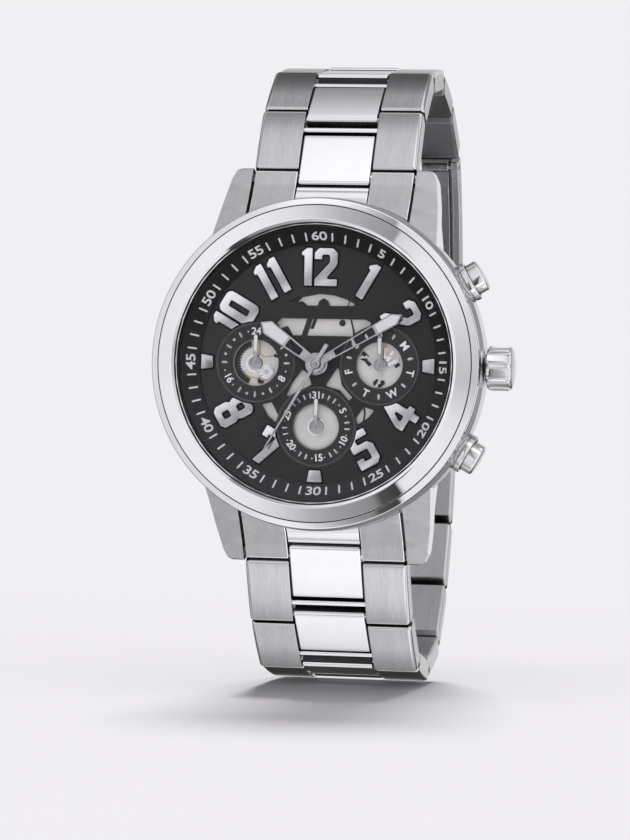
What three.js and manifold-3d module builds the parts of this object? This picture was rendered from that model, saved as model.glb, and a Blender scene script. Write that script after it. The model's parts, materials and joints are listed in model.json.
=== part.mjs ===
// Multi-function wristwatch with a three-column steel bracelet and a tri-fold clasp.
// Millimetres, +Z towards 12 o'clock, +X towards 3 o'clock. The dial faces -Y, the wrist is on +Y.
// The origin is the centre of the outer face of the caseback.
import * as THREE from 'three';
import { mergeVertices } from 'three/addons/utils/BufferGeometryUtils.js';
import Module from 'manifold-3d';

const wasm = await Module();
wasm.setup();

// ---------- driving dimensions ----------
const CASE_R = 22.0;          // middle of the case
const CASE_TOP_Y = -8.5;
const CASE_BACK_Y = -0.2;
const BEZEL_R = 21.6;
const BEZEL_BORE_R = 18.75;
const CRYSTAL_R = 18.2;
const CRYSTAL_TOP_Y = -12.3;
const CRYSTAL_BOTTOM_Y = -10.5;
const DIAL_R = 17.9;
const DIAL_TOP_Y = -8.2;
const DIAL_BACK_Y = -7.75;
const SUBDIAL_OFFSET = 8.25;  // sub-dial centres from the dial centre
const SUBDIAL_OPENING_R = 3.1;
const WHEEL_R = 2.8;          // wheels on the small hands' arbors
const CROWN_Y = -5.2;         // height of the crown and pusher axes
const CROWN_R = 2.95;
const CROWN_FLUTES = 8;
const PUSHER_ANGLE = 30;      // degrees above and below the crown
const PUSHER_R = 2.1;
const LUG_GAP = 22.2;         // between the lugs
const LINK_WIDTH = 22.0;
const CENTRE_WIDTH = 9.6;     // centre column
const LINK_THICKNESS = 3.0;
const PITCH = 10.0;           // pin to pin
const PIN_R = 0.55;
const PIN_HOLE_R = 0.72;
const HINGE = [2.5, 24.7];    // [y, z] of the first hinge at the 12 o'clock end

// headings: 0 runs away from the case along Z, 90 runs towards +Y; degrees
const END_HEADING = 30;       // fixed end links
const UPPER_HEADINGS = [32, 53, 81, 106, 122];
const LOWER_HEADINGS = [30, 49, 79, 105, 137, 155, 168];
const CLASP_HEADING = 150;    // clasp where it leaves the last upper link

// hand angles: degrees clockwise from 12 o'clock
const HOUR_ANGLE = 305.3;
const MINUTE_ANGLE = 59.5;
const SECOND_ANGLE = 210;

const group = new THREE.Group();
const DEG = Math.PI / 180;

// ---------- materials ----------
const FINISH = {
  polished: { color: 0xdcdcde, roughness: 0.12, metalness: 1 },
  brushed: { color: 0xb9b9bd, roughness: 0.38, metalness: 1 },
  dial: { color: 0x37363a, roughness: 0.7, metalness: 0.1 },
  ring: { color: 0x2c2a2e, roughness: 0.6, metalness: 0.1 },
  silver: { color: 0xcfcfd0, roughness: 0.45, metalness: 0.8 },
  holder: { color: 0xe8e8e4, roughness: 0.6, metalness: 0 },
  rubber: { color: 0x18181a, roughness: 0.8, metalness: 0 },
  glass: { color: 0xffffff, roughness: 0.02, metalness: 0, transparent: true, opacity: 0.15 },
  hand: { color: 0xe4e4e6, roughness: 0.2, metalness: 1 },
  cell: { color: 0xc8c8c4, roughness: 0.3, metalness: 1 },
};

// ---------- solids ----------
const WELD = 1e-4;            // points closer than this are merged
const X_AXIS = new THREE.Vector3(1, 0, 0);
const Y_AXIS = new THREE.Vector3(0, 1, 0);
const Z_AXIS = new THREE.Vector3(0, 0, 1);

// closed geometry to a Manifold body, with collapsed triangles dropped and faces turned outward
function solid(geometry) {
  geometry.deleteAttribute('normal');
  geometry.deleteAttribute('uv');
  const merged = mergeVertices(geometry, WELD);
  const points = merged.attributes.position.array;
  const index = merged.index.array;
  const corner = (i) => new THREE.Vector3().fromArray(points, 3 * i);
  const triangles = [];
  let volume = 0;
  for (let i = 0; i < index.length; i += 3) {
    const [a, b, c] = index.slice(i, i + 3);
    if (a === b || b === c || a === c) continue;
    triangles.push(a, b, c);
    volume += corner(a).dot(corner(b).cross(corner(c)));
  }
  if (volume < 0) triangles.reverse();
  return new wasm.Manifold(new wasm.Mesh({
    numProp: 3,
    vertProperties: new Float32Array(points),
    triVerts: new Uint32Array(triangles),
  }));
}

function add(name, body, finish) {
  const { vertProperties, triVerts } = body.getMesh();
  const geometry = new THREE.BufferGeometry();
  geometry.setAttribute('position', new THREE.BufferAttribute(new Float32Array(vertProperties), 3));
  geometry.setIndex(new THREE.BufferAttribute(new Uint32Array(triVerts), 1));
  const mesh = new THREE.Mesh(geometry, new THREE.MeshStandardMaterial(finish));
  mesh.name = name;
  group.add(mesh);
  return mesh;
}

// revolved about Y: profile of [radius, y], closed here unless it starts on the axis
function lathe(profile) {
  const points = profile.map(([radius, y]) => new THREE.Vector2(radius, y));
  if (profile[0][0] > 0) points.push(points[0].clone());
  return solid(new THREE.LatheGeometry(points, 40));
}

function rodX(radius, from, to, [y, z], segments = 10) {
  const geometry = new THREE.CylinderGeometry(radius, radius, to - from, segments);
  return solid(geometry.rotateZ(Math.PI / 2).translate((from + to) / 2, y, z));
}

function rodY(radius, from, to, [x, z] = [0, 0], segments = 16) {
  const geometry = new THREE.CylinderGeometry(radius, radius, to - from, segments);
  return solid(geometry.translate(x, (from + to) / 2, z));
}

function extrude(outline, depth, axes) {
  const shape = new THREE.Shape(outline.map(([u, v]) => new THREE.Vector2(u, v)));
  const geometry = new THREE.ExtrudeGeometry(shape, { depth, bevelEnabled: false });
  return geometry.applyMatrix4(new THREE.Matrix4().makeBasis(...axes));
}

// plate parallel to the dial: outline of [x, z], y range
const PLATE_AXES = [X_AXIS, Z_AXIS, Y_AXIS.clone().negate()];
const plate = (outline, from, to) =>
  solid(extrude(outline, to - from, PLATE_AXES).translate(0, to, 0));

// slab across the bracelet: outline of [y, z], x range
const SLAB_AXES = [Y_AXIS, Z_AXIS, X_AXIS];
const slab = (outline, from, to) =>
  solid(extrude(outline, to - from, SLAB_AXES).translate(from, 0, 0));

// the same two, centred on x = 0
const rodAcross = (radius, half, centre, segments) => rodX(radius, -half, half, centre, segments);
const slabAcross = (outline, half) => slab(outline, -half, half);

const union = (...bodies) => bodies.reduce((sum, body) => sum.add(body));
const MIRROR_X = [1, 0, 0];
const MIRROR_Z = [0, 0, 1];
const pair = (body, mirror = MIRROR_X) => body.add(body.mirror(mirror));

// ---------- case ----------
const CASE_BORE_R = 17.1;
const BACK_OPENING_R = 18.4;
const BACK_SEAT_Y = -1.6;
const DIAL_OPENING_R = 18.1;
const DIAL_SEAT_Y = -7.7;
const CASE_PROFILE = [
  [20.4, CASE_BACK_Y], [21.4, -1.6], [CASE_R, -3.2], [CASE_R, -7.6], [21.7, CASE_TOP_Y],
  [DIAL_OPENING_R, CASE_TOP_Y], [DIAL_OPENING_R, DIAL_SEAT_Y], [CASE_BORE_R, DIAL_SEAT_Y],
  [CASE_BORE_R, BACK_SEAT_Y], [BACK_OPENING_R, BACK_SEAT_Y], [BACK_OPENING_R, CASE_BACK_Y],
];
const LUG_ROOT_Z = 14.5;
const LUG_CLEAR_R = 17.6;     // keeps the lug roots out of the case interior
// [y, z] seen from the side
const LUG_SIDE = [
  [1.6, 26.4], [0.0, 23.7], [-1.3, 22.0], [-2.6, 20.5], [-5.3, 17.7], [-7.9, 15.2],
  [-8.2, LUG_ROOT_Z], [-0.4, LUG_ROOT_Z], [0.2, 19.0], [2.2, 21.4], [4.3, 24.3],
  [3.7, 25.9], [2.7, 26.5],
];
// [x, z] seen from the dial side
const LUG_FRONT = [
  [LUG_GAP / 2, LUG_ROOT_Z], [LUG_GAP / 2, 26.7], [13.2, 26.1], [13.8, 25.0],
  [14.5, 21.3], [15.2, 15.9], [15.2, LUG_ROOT_Z],
];
const SPRING_BAR_HALF = 12.2;
const LUG_HOLE_HALF = SPRING_BAR_HALF + 0.2;
const CROWN_AXIS = [CROWN_Y, 0];
const COLLAR_R = 2.68;
const PUSHER_CLEARANCE = 0.17;
const PUSHER_BORE_R = 1.35;
const CROWN_BORE_R = 1.75;

function caseBody() {
  const lug = slab(LUG_SIDE, 10, 20)
    .intersect(plate(LUG_FRONT, -9, 5))
    .subtract(rodY(LUG_CLEAR_R, -10, 5, [0, 0], 40))
    .subtract(rodAcross(PIN_HOLE_R, LUG_HOLE_HALF, HINGE));
  let body = lathe(CASE_PROFILE).add(pair(pair(lug), MIRROR_Z));
  // pusher collars and their stepped bores
  for (const angle of [-PUSHER_ANGLE, PUSHER_ANGLE]) {
    const turn = [0, angle, 0];
    body = body
      .add(rodX(COLLAR_R, 20.9, 22.95, CROWN_AXIS, 24).rotate(turn))
      .subtract(rodX(PUSHER_R + PUSHER_CLEARANCE, 21.0, 24.5, CROWN_AXIS, 20).rotate(turn))
      .subtract(rodX(PUSHER_BORE_R, 16, 24, CROWN_AXIS, 12).rotate(turn));
  }
  return body.subtract(rodX(CROWN_BORE_R, 16, 24, CROWN_AXIS, 16));
}
add('case_body', caseBody(), FINISH.brushed);

// turned parts: profiles of [radius, y]
const BEZEL_SEAT_R = 18.15;
const BEZEL_BACK_Y = -8.6;
const BEZEL_LEDGE_Y = -10.35;
add('bezel', lathe([
  [BEZEL_SEAT_R, BEZEL_BACK_Y], [BEZEL_R, BEZEL_BACK_Y], [BEZEL_R, -10.9], [20.9, -11.45],
  [BEZEL_BORE_R, -12.05], [BEZEL_BORE_R, BEZEL_LEDGE_Y], [BEZEL_SEAT_R, BEZEL_LEDGE_Y],
]), FINISH.polished);
add('crystal_gasket', lathe([
  [18.3, -10.45], [18.66, -10.45], [18.66, -11.9], [18.3, -11.9],
]), FINISH.rubber);
add('crystal', lathe([
  [0, CRYSTAL_BOTTOM_Y], [CRYSTAL_R, CRYSTAL_BOTTOM_Y], [CRYSTAL_R, CRYSTAL_TOP_Y + 0.3],
  [CRYSTAL_R - 0.3, CRYSTAL_TOP_Y], [0, CRYSTAL_TOP_Y],
]), FINISH.glass);
add('chapter_ring', lathe([
  [15.75, -8.3], [18.0, -8.3], [18.0, -10.3], [15.75, -8.5],
]), FINISH.ring);
add('caseback', lathe([
  [0, -1.3], [18.2, -1.3], [18.2, -0.25], [17.7, 0], [0, 0],
]), FINISH.polished);
add('caseback_gasket', lathe([
  [17.2, -1.55], [18.1, -1.55], [18.1, -1.35], [17.2, -1.35],
]), FINISH.rubber);

// ---------- dial and movement ----------
// sub-dial centres, [x, z]
const SUBDIALS = {
  hour24: [-SUBDIAL_OFFSET, 0],
  day: [SUBDIAL_OFFSET, 0],
  date: [0, -SUBDIAL_OFFSET],
};
// openings through the dial, outlines of [x, z]
const DIAL_WINDOWS = [
  [[-4.3, 7.8], [-1.6, 9.0], [0.3, 9.2], [2.0, 9.0], [5.1, 7.75]],
  [[-5.0, 5.95], [6.2, 5.95], [6.9, 5.55], [6.3, 3.8], [-4.3, 3.8], [-5.5, 5.3]],
  [[-2.1, -0.75], [-0.85, -2.75], [-2.7, -3.7], [-4.2, -4.5], [-3.4, -2.6]],
  [[-7.2, -5.5], [-6.0, -5.3], [-5.1, -6.9], [-5.4, -7.7], [-6.5, -6.9]],
  [[2.7, -0.3], [1.15, -2.8], [3.0, -3.35], [4.2, -4.7], [4.7, -4.35], [3.3, -2.75]],
  [[5.4, -7.8], [5.3, -7.0], [6.25, -5.6], [7.6, -5.9], [6.9, -6.9]],
];
const DIAL_CUT = [-9, -7];    // y range through the dial and the plate behind it
const CENTRE_HOLE_R = 1.4;
const ARBOR_HOLE_R = 0.55;
const MOVEMENT_R = 15.0;
const BATTERY_CENTRE = [-5.5, -6.5];
const BATTERY_R = 4.75;

// disc with a hole at the centre and one at each sub-dial
function drilledDisc(radius, from, to, holeR, segments) {
  let disc = rodY(radius, from, to, [0, 0], 40)
    .subtract(rodY(CENTRE_HOLE_R, ...DIAL_CUT, [0, 0], 12));
  for (const centre of Object.values(SUBDIALS)) {
    disc = disc.subtract(rodY(holeR, ...DIAL_CUT, centre, segments));
  }
  return disc;
}

function movementBody() {
  let body = rodY(MOVEMENT_R, -7.0, -2.6, [0, 0], 40);
  // pockets for the wheels on the small hands' arbors
  for (const centre of Object.values(SUBDIALS)) {
    body = body.subtract(rodY(WHEEL_R + 0.2, -8, -5.6, centre, 24));
  }
  return body
    .subtract(rodY(BATTERY_R + 0.2, -4.7, -2, BATTERY_CENTRE, 24))
    .subtract(rodX(0.8, 6, 16, CROWN_AXIS));
}

let dial = drilledDisc(DIAL_R, DIAL_TOP_Y, DIAL_BACK_Y, SUBDIAL_OPENING_R, 24);
for (const outline of DIAL_WINDOWS) dial = dial.subtract(plate(outline, ...DIAL_CUT));
add('dial_plate', dial, FINISH.dial);
add('movement_plate', drilledDisc(MOVEMENT_R + 0.1, -7.6, -7.1, ARBOR_HOLE_R, 10), FINISH.silver);
add('movement_body', movementBody(), FINISH.silver);
add('battery', rodY(BATTERY_R, -4.5, -1.8, BATTERY_CENTRE, 24), FINISH.cell);
add('movement_holder', lathe([[15.3, -1.6], [16.9, -1.6], [16.9, -7.55], [15.3, -7.55]])
  .subtract(rodX(0.9, 14, 18, CROWN_AXIS)), FINISH.holder);

// ---------- hands ----------
// blades point to +Z before turning: outlines of [x, z]
const HOUR_BLADE = [
  [-0.55, 0], [-1.05, 4.6], [-0.95, 8.2], [0, 9.3], [0.95, 8.2], [1.05, 4.6], [0.55, 0],
];
const MINUTE_BLADE = [
  [-0.5, 0], [-0.85, 8.4], [-0.75, 12.2], [0, 13.2], [0.75, 12.2], [0.85, 8.4], [0.5, 0],
];
const SECOND_BLADE = [
  [-0.28, -3.0], [-0.28, 0], [-0.12, 13.1], [0.12, 13.1], [0.28, 0], [0.28, -3.0],
];
const SMALL_BLADE = [[-0.3, -0.9], [-0.35, 3.6], [0, 3.8], [0.35, 3.6], [0.3, -0.9]];
const MAIN_PIPE_END = -7.15;
const WHEEL_THICKNESS = 0.9;

// blade and hub in the y range top to back, on a pipe that runs down to pipeEnd
function hand(name, {
  blade, top, back, hubR, pipeR, boreR = 0, pipeEnd = MAIN_PIPE_END,
  angle = 0, centre: [x, z] = [0, 0], wheelR = 0,
}) {
  let body = union(
    plate(blade, top, back),
    rodY(hubR, top, back),
    rodY(pipeR, top, pipeEnd, [0, 0], 12));
  if (boreR > 0) body = body.subtract(rodY(boreR, top - 1, pipeEnd + 1, [0, 0], 12));
  if (wheelR > 0) body = body.add(rodY(wheelR, pipeEnd - WHEEL_THICKNESS, pipeEnd, [0, 0], 20));
  const mesh = add(name, body, FINISH.hand);
  mesh.rotation.y = angle * DEG;
  mesh.position.set(x, 0, z);
}
hand('hour_hand', {
  blade: HOUR_BLADE, top: -9.25, back: -9.1, hubR: 1.5, pipeR: 1.15, boreR: 0.9, angle: HOUR_ANGLE,
});
hand('minute_hand', {
  blade: MINUTE_BLADE, top: -9.7, back: -9.55, hubR: 1.2, pipeR: 0.72, boreR: 0.45,
  angle: MINUTE_ANGLE,
});
hand('second_hand', {
  blade: SECOND_BLADE, top: -10.2, back: -10.0, hubR: 0.75, pipeR: 0.28, angle: SECOND_ANGLE,
});
for (const [name, centre] of Object.entries(SUBDIALS)) {
  hand(`${name}_hand`, {
    blade: SMALL_BLADE, top: -8.75, back: -8.6, hubR: 0.6, pipeR: 0.3, pipeEnd: -5.9,
    centre, wheelR: WHEEL_R,
  });
}

// ---------- crown and pushers ----------
const STEM_R = 0.55;
const CROWN_PHASE = -0.1;     // radians
// one flute, a broad scoop between narrow ridges: [fraction of a flute from its middle, radius]
const FLUTE = [
  [-0.44, CROWN_R], [-0.32, CROWN_R - 0.33], [0, CROWN_R - 0.4],
  [0.32, CROWN_R - 0.33], [0.44, CROWN_R],
];

function crown() {
  const outline = [];
  for (let i = 0; i < CROWN_FLUTES; i++) {
    for (const [fraction, radius] of FLUTE) {
      const angle = 2 * Math.PI * (i + 0.5 + fraction) / CROWN_FLUTES + CROWN_PHASE;
      outline.push([CROWN_Y + radius * Math.cos(angle), radius * Math.sin(angle)]);
    }
  }
  return slab(outline, 22.15, 25.15)
    .add(rodX(2.5, 25.0, 25.6, CROWN_AXIS, 24))
    .add(rodX(1.7, 25.4, 25.85, CROWN_AXIS, 20))
    .subtract(rodX(0.75, 21, 23.5, CROWN_AXIS));
}
add('crown_tube', rodX(1.6, 17.3, 22.0, CROWN_AXIS, 16)
  .subtract(rodX(0.95, 17, 23, CROWN_AXIS, 12)), FINISH.brushed);
add('crown_stem', rodX(STEM_R, 7.5, 23.2, CROWN_AXIS), FINISH.brushed);
add('crown', crown(), FINISH.polished);

// head, raised end face and stem
const pusher = union(
  rodX(PUSHER_R, 22.1, 24.35, CROWN_AXIS, 20),
  rodX(1.72, 24.25, 24.65, CROWN_AXIS, 20),
  rodX(1.15, 18.3, 22.3, CROWN_AXIS, 12));
add('pusher_upper', pusher, FINISH.polished).rotation.y = -PUSHER_ANGLE * DEG;
add('pusher_lower', pusher, FINISH.polished).rotation.y = PUSHER_ANGLE * DEG;

// ---------- bracelet ----------
// side is 1 at the 12 o'clock end, -1 at the 6 o'clock end; directions are [y, z]
const tangent = (heading, side) => [Math.sin(heading * DEG), side * Math.cos(heading * DEG)];
const normal = (heading, side) => [-Math.cos(heading * DEG), side * Math.sin(heading * DEG)];
function offset([y, z], heading, side, along, outward) {
  const [ty, tz] = tangent(heading, side);
  const [ny, nz] = normal(heading, side);
  return [y + along * ty + outward * ny, z + along * tz + outward * nz];
}

const HALF_WIDTH = LINK_WIDTH / 2;
const CENTRE_HALF = CENTRE_WIDTH / 2;
const SLOT_HALF = 5.0;        // gap between the outer columns
const BRIDGE_HALF = SLOT_HALF + 0.1;  // runs into the outer columns
const FACE = LINK_THICKNESS / 2;
const CENTRE_FACE = 1.45;
const EDGE = 0.3;             // chamfer
const OVERHANG = 0.85;        // outer columns beyond the pin
const PIN_HALF = 10.8;
const END_LINK_HALF = 10.8;

// link outlines: [distance from the pin nearest the case, distance outward]
const OUTER_SIDE = [
  [1.25, FACE - EDGE], [1.25 + EDGE, FACE],
  [PITCH + OVERHANG - EDGE, FACE], [PITCH + OVERHANG, FACE - EDGE],
  [PITCH + OVERHANG, EDGE - FACE], [PITCH + OVERHANG - EDGE, -FACE], [2.2, -FACE], [1.25, -0.1],
];
const HEAD_SIDE = [
  [-1.3, 0.55], [-0.75, 1.2], [0.3, CENTRE_FACE], [3.0, CENTRE_FACE],
  [3.0, -CENTRE_FACE], [0.6, -CENTRE_FACE], [-0.6, -1.25], [-1.3, -0.55],
];
const MIDDLE_SIDE = [
  [2.4, CENTRE_FACE], [6.6, CENTRE_FACE], [6.9, CENTRE_FACE - EDGE],
  [6.9, -CENTRE_FACE], [2.4, -CENTRE_FACE],
];
const BAR_SIDE = [[7.5, 0.5], [7.7, 0.8], [8.1, 0.8], [8.3, 0.5], [8.3, -1.1], [7.5, -1.1]];

const link = union(
  pair(slab(OUTER_SIDE, SLOT_HALF, HALF_WIDTH)),
  slabAcross(HEAD_SIDE, CENTRE_HALF),
  slabAcross(MIDDLE_SIDE, BRIDGE_HALF),
  slabAcross(BAR_SIDE, BRIDGE_HALF))
  .subtract(rodAcross(PIN_HOLE_R, 12, [PITCH, 0]))
  .subtract(rodAcross(PIN_HOLE_R, 5.5, [0, 0]));
const linkPin = rodAcross(PIN_R, PIN_HALF, [0, 0]);

// mesh whose own Y runs along the bracelet and own Z outward
function addAt(name, body, point, heading, side) {
  const mesh = add(name, body, FINISH.brushed);
  mesh.quaternion.setFromRotationMatrix(new THREE.Matrix4().makeBasis(
    new THREE.Vector3(side, 0, 0),
    new THREE.Vector3(0, ...tangent(heading, side)),
    new THREE.Vector3(0, ...normal(heading, side))));
  mesh.position.set(0, ...point);
}

// links from the case hinge on; returns the last pin's place
function chain(prefix, headings, side) {
  let point = [HINGE[0], side * HINGE[1]];
  add(`spring_bar_${prefix}`, rodAcross(PIN_R, SPRING_BAR_HALF, point), FINISH.brushed);
  headings.forEach((heading, i) => {
    addAt(`${prefix}_link_${i + 1}`, link, point, heading, side);
    point = offset(point, heading, side, PITCH, 0);
    // the clasp's spring bar takes the place of the last lower pin
    if (side > 0 || i < headings.length - 1) {
      addAt(`${prefix}_link_pin_${i + 1}`, linkPin, point, heading, side);
    }
  });
  return point;
}
const claspTop = chain('upper', UPPER_HEADINGS, 1);
const claspBottom = chain('lower', LOWER_HEADINGS, -1);

// fixed end link, cut to the round of the case and slotted for the first link's head
function endLink() {
  const atHinge = (along, outward) => offset(HINGE, END_HEADING, 1, along, outward);
  const outline = [
    atHinge(OVERHANG, FACE - EDGE), atHinge(OVERHANG - EDGE, FACE), atHinge(-2.2, FACE),
    [-1.0, 22.0], [-2.9, 20.3], [-5.0, 19.0], [-5.0, 18.0], [0.4, 18.0], [0.6, 20.0], [2.4, 21.6],
    atHinge(OVERHANG - EDGE, -FACE), atHinge(OVERHANG, EDGE - FACE),
  ];
  const slot = [atHinge(-1.8, 5), atHinge(3, 5), atHinge(3, -5), atHinge(-1.8, -5)];
  return slabAcross(outline, END_LINK_HALF)
    .subtract(rodY(CASE_R + 0.3, -12, 6, [0, 0], 40))
    .subtract(slabAcross(slot, SLOT_HALF))
    .subtract(rodAcross(PIN_HOLE_R, 12, HINGE));
}
add('end_link_upper', endLink(), FINISH.brushed);
add('end_link_lower', endLink().mirror(MIRROR_Z), FINISH.brushed);

// ---------- clasp ----------
// follows an arc from the last upper pin to the last lower pin
const chordY = claspBottom[0] - claspTop[0];
const chordZ = claspBottom[1] - claspTop[1];
const halfTurn = Math.atan2(chordY, chordZ) - CLASP_HEADING * DEG;
const CLASP_R = Math.hypot(chordY, chordZ) / 2 / Math.sin(halfTurn);
const CLASP_LENGTH = 2 * halfTurn * CLASP_R;
const claspCentre = offset(claspTop, CLASP_HEADING, 1, 0, -CLASP_R);
// [y, z] at a distance along the arc and a distance outward from it
const onArc = (along, outward) =>
  offset(claspCentre, CLASP_HEADING + along / CLASP_R / DEG, 1, 0, CLASP_R + outward);

// outline between two distances along the arc, filling a layer of [inner, outer]
function band(from, to, [inner, outer], steps = 6) {
  const outerEdge = [];
  const innerEdge = [];
  for (let i = 0; i <= steps; i++) {
    const along = from + (to - from) * i / steps;
    outerEdge.push(onArc(along, outer));
    innerEdge.unshift(onArc(along, inner));
  }
  return outerEdge.concat(innerEdge);
}

const COVER_WALL = 1.2;
const COVER_END = CLASP_LENGTH - 1.25;
const COVER_LAYER = [0.5, 1.5];
const WALL_LAYER = [-1.0, 1.4];
const MIDDLE_LAYER = [-0.7, 0.2];
const INNER_LAYER = [-1.9, -1.0];
const END_KNUCKLE_R = 1.3;    // round the last link pins
const ARM_X = [5.6, 9.4];     // middle blade's arms at the cover hinge
const ARM_KNUCKLE_R = 0.78;
const COVER_PIN_HOLE_R = 0.52;
const FOLD_X = [4.2, 7.8];    // middle blade's knuckles at the fold hinge
const FOLD_KNUCKLE_R = 0.95;
const FOLD_HOLE_R = 0.7;
const COVER_HINGE_AT = 2.9;
const FOLD_HINGE_AT = CLASP_LENGTH - 8.0;
const BUTTON_AT = CLASP_LENGTH / 2;
const coverHinge = onArc(COVER_HINGE_AT, -0.45);
const foldHinge = onArc(FOLD_HINGE_AT, -0.95);
const aroundButton = (half, layer) => band(BUTTON_AT - half, BUTTON_AT + half, layer, 2);

// curved plate, two side walls, and a tongue for the spring bar
function claspCover() {
  const end = CLASP_LENGTH;
  return union(
    slabAcross(band(2.3, COVER_END, COVER_LAYER), HALF_WIDTH),
    pair(slab(band(1.9, COVER_END, WALL_LAYER), HALF_WIDTH - COVER_WALL, HALF_WIDTH)),
    slabAcross(band(end - 3.2, end - 1.6, [-1.3, 1.4], 2), HALF_WIDTH),
    slabAcross(band(end - 3.0, end - 0.2, [-1.3, 1.3], 2), CENTRE_HALF),
    rodAcross(END_KNUCKLE_R, CENTRE_HALF, claspBottom, 12))
    .subtract(slabAcross(band(0, 5.6, [-2, 3], 2), 5.3))
    .subtract(rodAcross(PIN_HOLE_R, 6, claspBottom))
    .subtract(rodAcross(COVER_PIN_HOLE_R, 12, coverHinge))
    .subtract(pair(slab(aroundButton(2.6, [-0.65, 0.85]), 8.9, 12)));
}

// two arms round the cover hinge, a plate notched at the buttons, two knuckles at the fold hinge
function middleBlade() {
  return union(
    slabAcross(band(5.4, FOLD_HINGE_AT - 1.4, MIDDLE_LAYER), 9.4),
    pair(slab(band(COVER_HINGE_AT, 5.8, MIDDLE_LAYER, 1), ...ARM_X)),
    pair(rodX(ARM_KNUCKLE_R, ...ARM_X, coverHinge, 12)),
    pair(slab(band(FOLD_HINGE_AT - 1.6, FOLD_HINGE_AT, [-0.9, 0], 1), ...FOLD_X)),
    pair(rodX(FOLD_KNUCKLE_R, ...FOLD_X, foldHinge, 12)))
    .subtract(rodAcross(COVER_PIN_HOLE_R, 12, coverHinge))
    .subtract(rodAcross(FOLD_HOLE_R, 12, foldHinge))
    .subtract(pair(slab(aroundButton(3, [-2, 2]), 8.4, 12)));
}

// a centre-link head on the last upper pin, a plate, one knuckle at the fold hinge
function innerBlade() {
  return union(
    rodAcross(END_KNUCKLE_R, CENTRE_HALF, claspTop, 12),
    slabAcross(band(0, 4.6, [-1.9, 1.3], 2), CENTRE_HALF),
    slabAcross(band(4.2, 5.6, INNER_LAYER, 1), CENTRE_HALF),
    slabAcross(band(5.2, FOLD_HINGE_AT - 1.5, INNER_LAYER), 8.0),
    slabAcross(band(FOLD_HINGE_AT - 1.7, FOLD_HINGE_AT, INNER_LAYER, 1), 3.9),
    rodAcross(FOLD_KNUCKLE_R, 3.9, foldHinge, 12))
    .subtract(rodAcross(PIN_HOLE_R, 6, claspTop))
    .subtract(rodAcross(FOLD_HOLE_R, 12, foldHinge));
}

// the part as modelled lies on +X (right), its mirror image on -X (left)
function addLeftAndRight(name, body, finish) {
  add(`${name}_left`, body.mirror(MIRROR_X), finish);
  add(`${name}_right`, body, finish);
}

add('clasp_cover', claspCover(), FINISH.brushed);
add('clasp_middle_blade', middleBlade(), FINISH.brushed);
add('clasp_inner_blade', innerBlade(), FINISH.brushed);
add('clasp_fold_pin', rodAcross(0.5, 7.6, foldHinge), FINISH.brushed);
addLeftAndRight('clasp_cover_pin', rodX(0.4, 5.8, PIN_HALF, coverHinge), FINISH.brushed);
add('clasp_spring_bar', rodAcross(PIN_R, 4.6, claspBottom), FINISH.brushed);
addLeftAndRight('clasp_button', slab(aroundButton(2.35, [-0.4, 0.6]), 9.75, 11.7), FINISH.polished);

export default group;
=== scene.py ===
# A steel wristwatch with three sub-dials, closed on its link bracelet with a folding clasp.
# The dial faces -Y, twelve o'clock is +Z and the crown is on +X. The caseback lies at y = 0 and
# the clasp closes behind it on +Y. Lengths are in mm until piece() scales them to metres; the
# materials, stage, lights and camera are in metres. Angles on the dial run clockwise from twelve.
import json
import math

import bmesh
import bpy
from mathutils import Matrix, Vector

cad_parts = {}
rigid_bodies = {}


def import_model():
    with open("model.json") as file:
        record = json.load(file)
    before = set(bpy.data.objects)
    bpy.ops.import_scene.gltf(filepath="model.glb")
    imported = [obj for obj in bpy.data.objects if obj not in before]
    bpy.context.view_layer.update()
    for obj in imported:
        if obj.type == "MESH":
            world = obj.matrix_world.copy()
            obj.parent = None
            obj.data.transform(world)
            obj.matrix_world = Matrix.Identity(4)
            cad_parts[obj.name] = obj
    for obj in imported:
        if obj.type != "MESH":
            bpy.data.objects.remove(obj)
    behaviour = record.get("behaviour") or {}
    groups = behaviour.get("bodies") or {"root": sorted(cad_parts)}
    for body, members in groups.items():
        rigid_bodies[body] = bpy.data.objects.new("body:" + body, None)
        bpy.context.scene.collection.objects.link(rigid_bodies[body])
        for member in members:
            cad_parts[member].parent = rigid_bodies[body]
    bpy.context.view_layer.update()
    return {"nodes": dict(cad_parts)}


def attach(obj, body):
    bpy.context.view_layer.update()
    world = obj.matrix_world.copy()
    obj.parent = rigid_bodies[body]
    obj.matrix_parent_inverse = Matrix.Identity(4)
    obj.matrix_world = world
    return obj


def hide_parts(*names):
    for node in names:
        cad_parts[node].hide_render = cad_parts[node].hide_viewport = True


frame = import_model()

MM = 0.001
DEG = math.pi / 180
TAU = 2 * math.pi
scene = bpy.context.scene

# ---------------------------------------------------------------- driving dimensions

CROWN_Y = -5.2  # height of the crown and pusher axes
PUSHER_ANGLE = 30  # the pushers stand this far above and below the crown
SUBDIAL_OFFSET = 8.25
SUBDIALS = [(-SUBDIAL_OFFSET, 0.0), (SUBDIAL_OFFSET, 0.0), (0.0, -SUBDIAL_OFFSET)]
LEFT, RIGHT, LOWER = SUBDIALS
HOUR_ANGLE, MINUTE_ANGLE, SECOND_ANGLE = 305.3, 59.5, 210

# bracelet: half thickness, pin distance, first pin, and the heading of each link
HALF_THICK, PITCH = 1.5, 10.0
HINGE_Y, HINGE_Z, END_HEADING = 2.5, 24.7, 30
UPPER_HEADINGS = [32, 53, 81, 106, 122]
LOWER_HEADINGS = [30, 49, 79, 105, 137, 155, 168]
CLASP_HEADING = 150
CENTRE_HALF = 4.8  # half width of the clasp's centre pieces

ENDS = (("upper", 1), ("lower", -1))
SIDES = (("right", 1), ("left", -1))

# ---------------------------------------------------------------- node helpers


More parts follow.
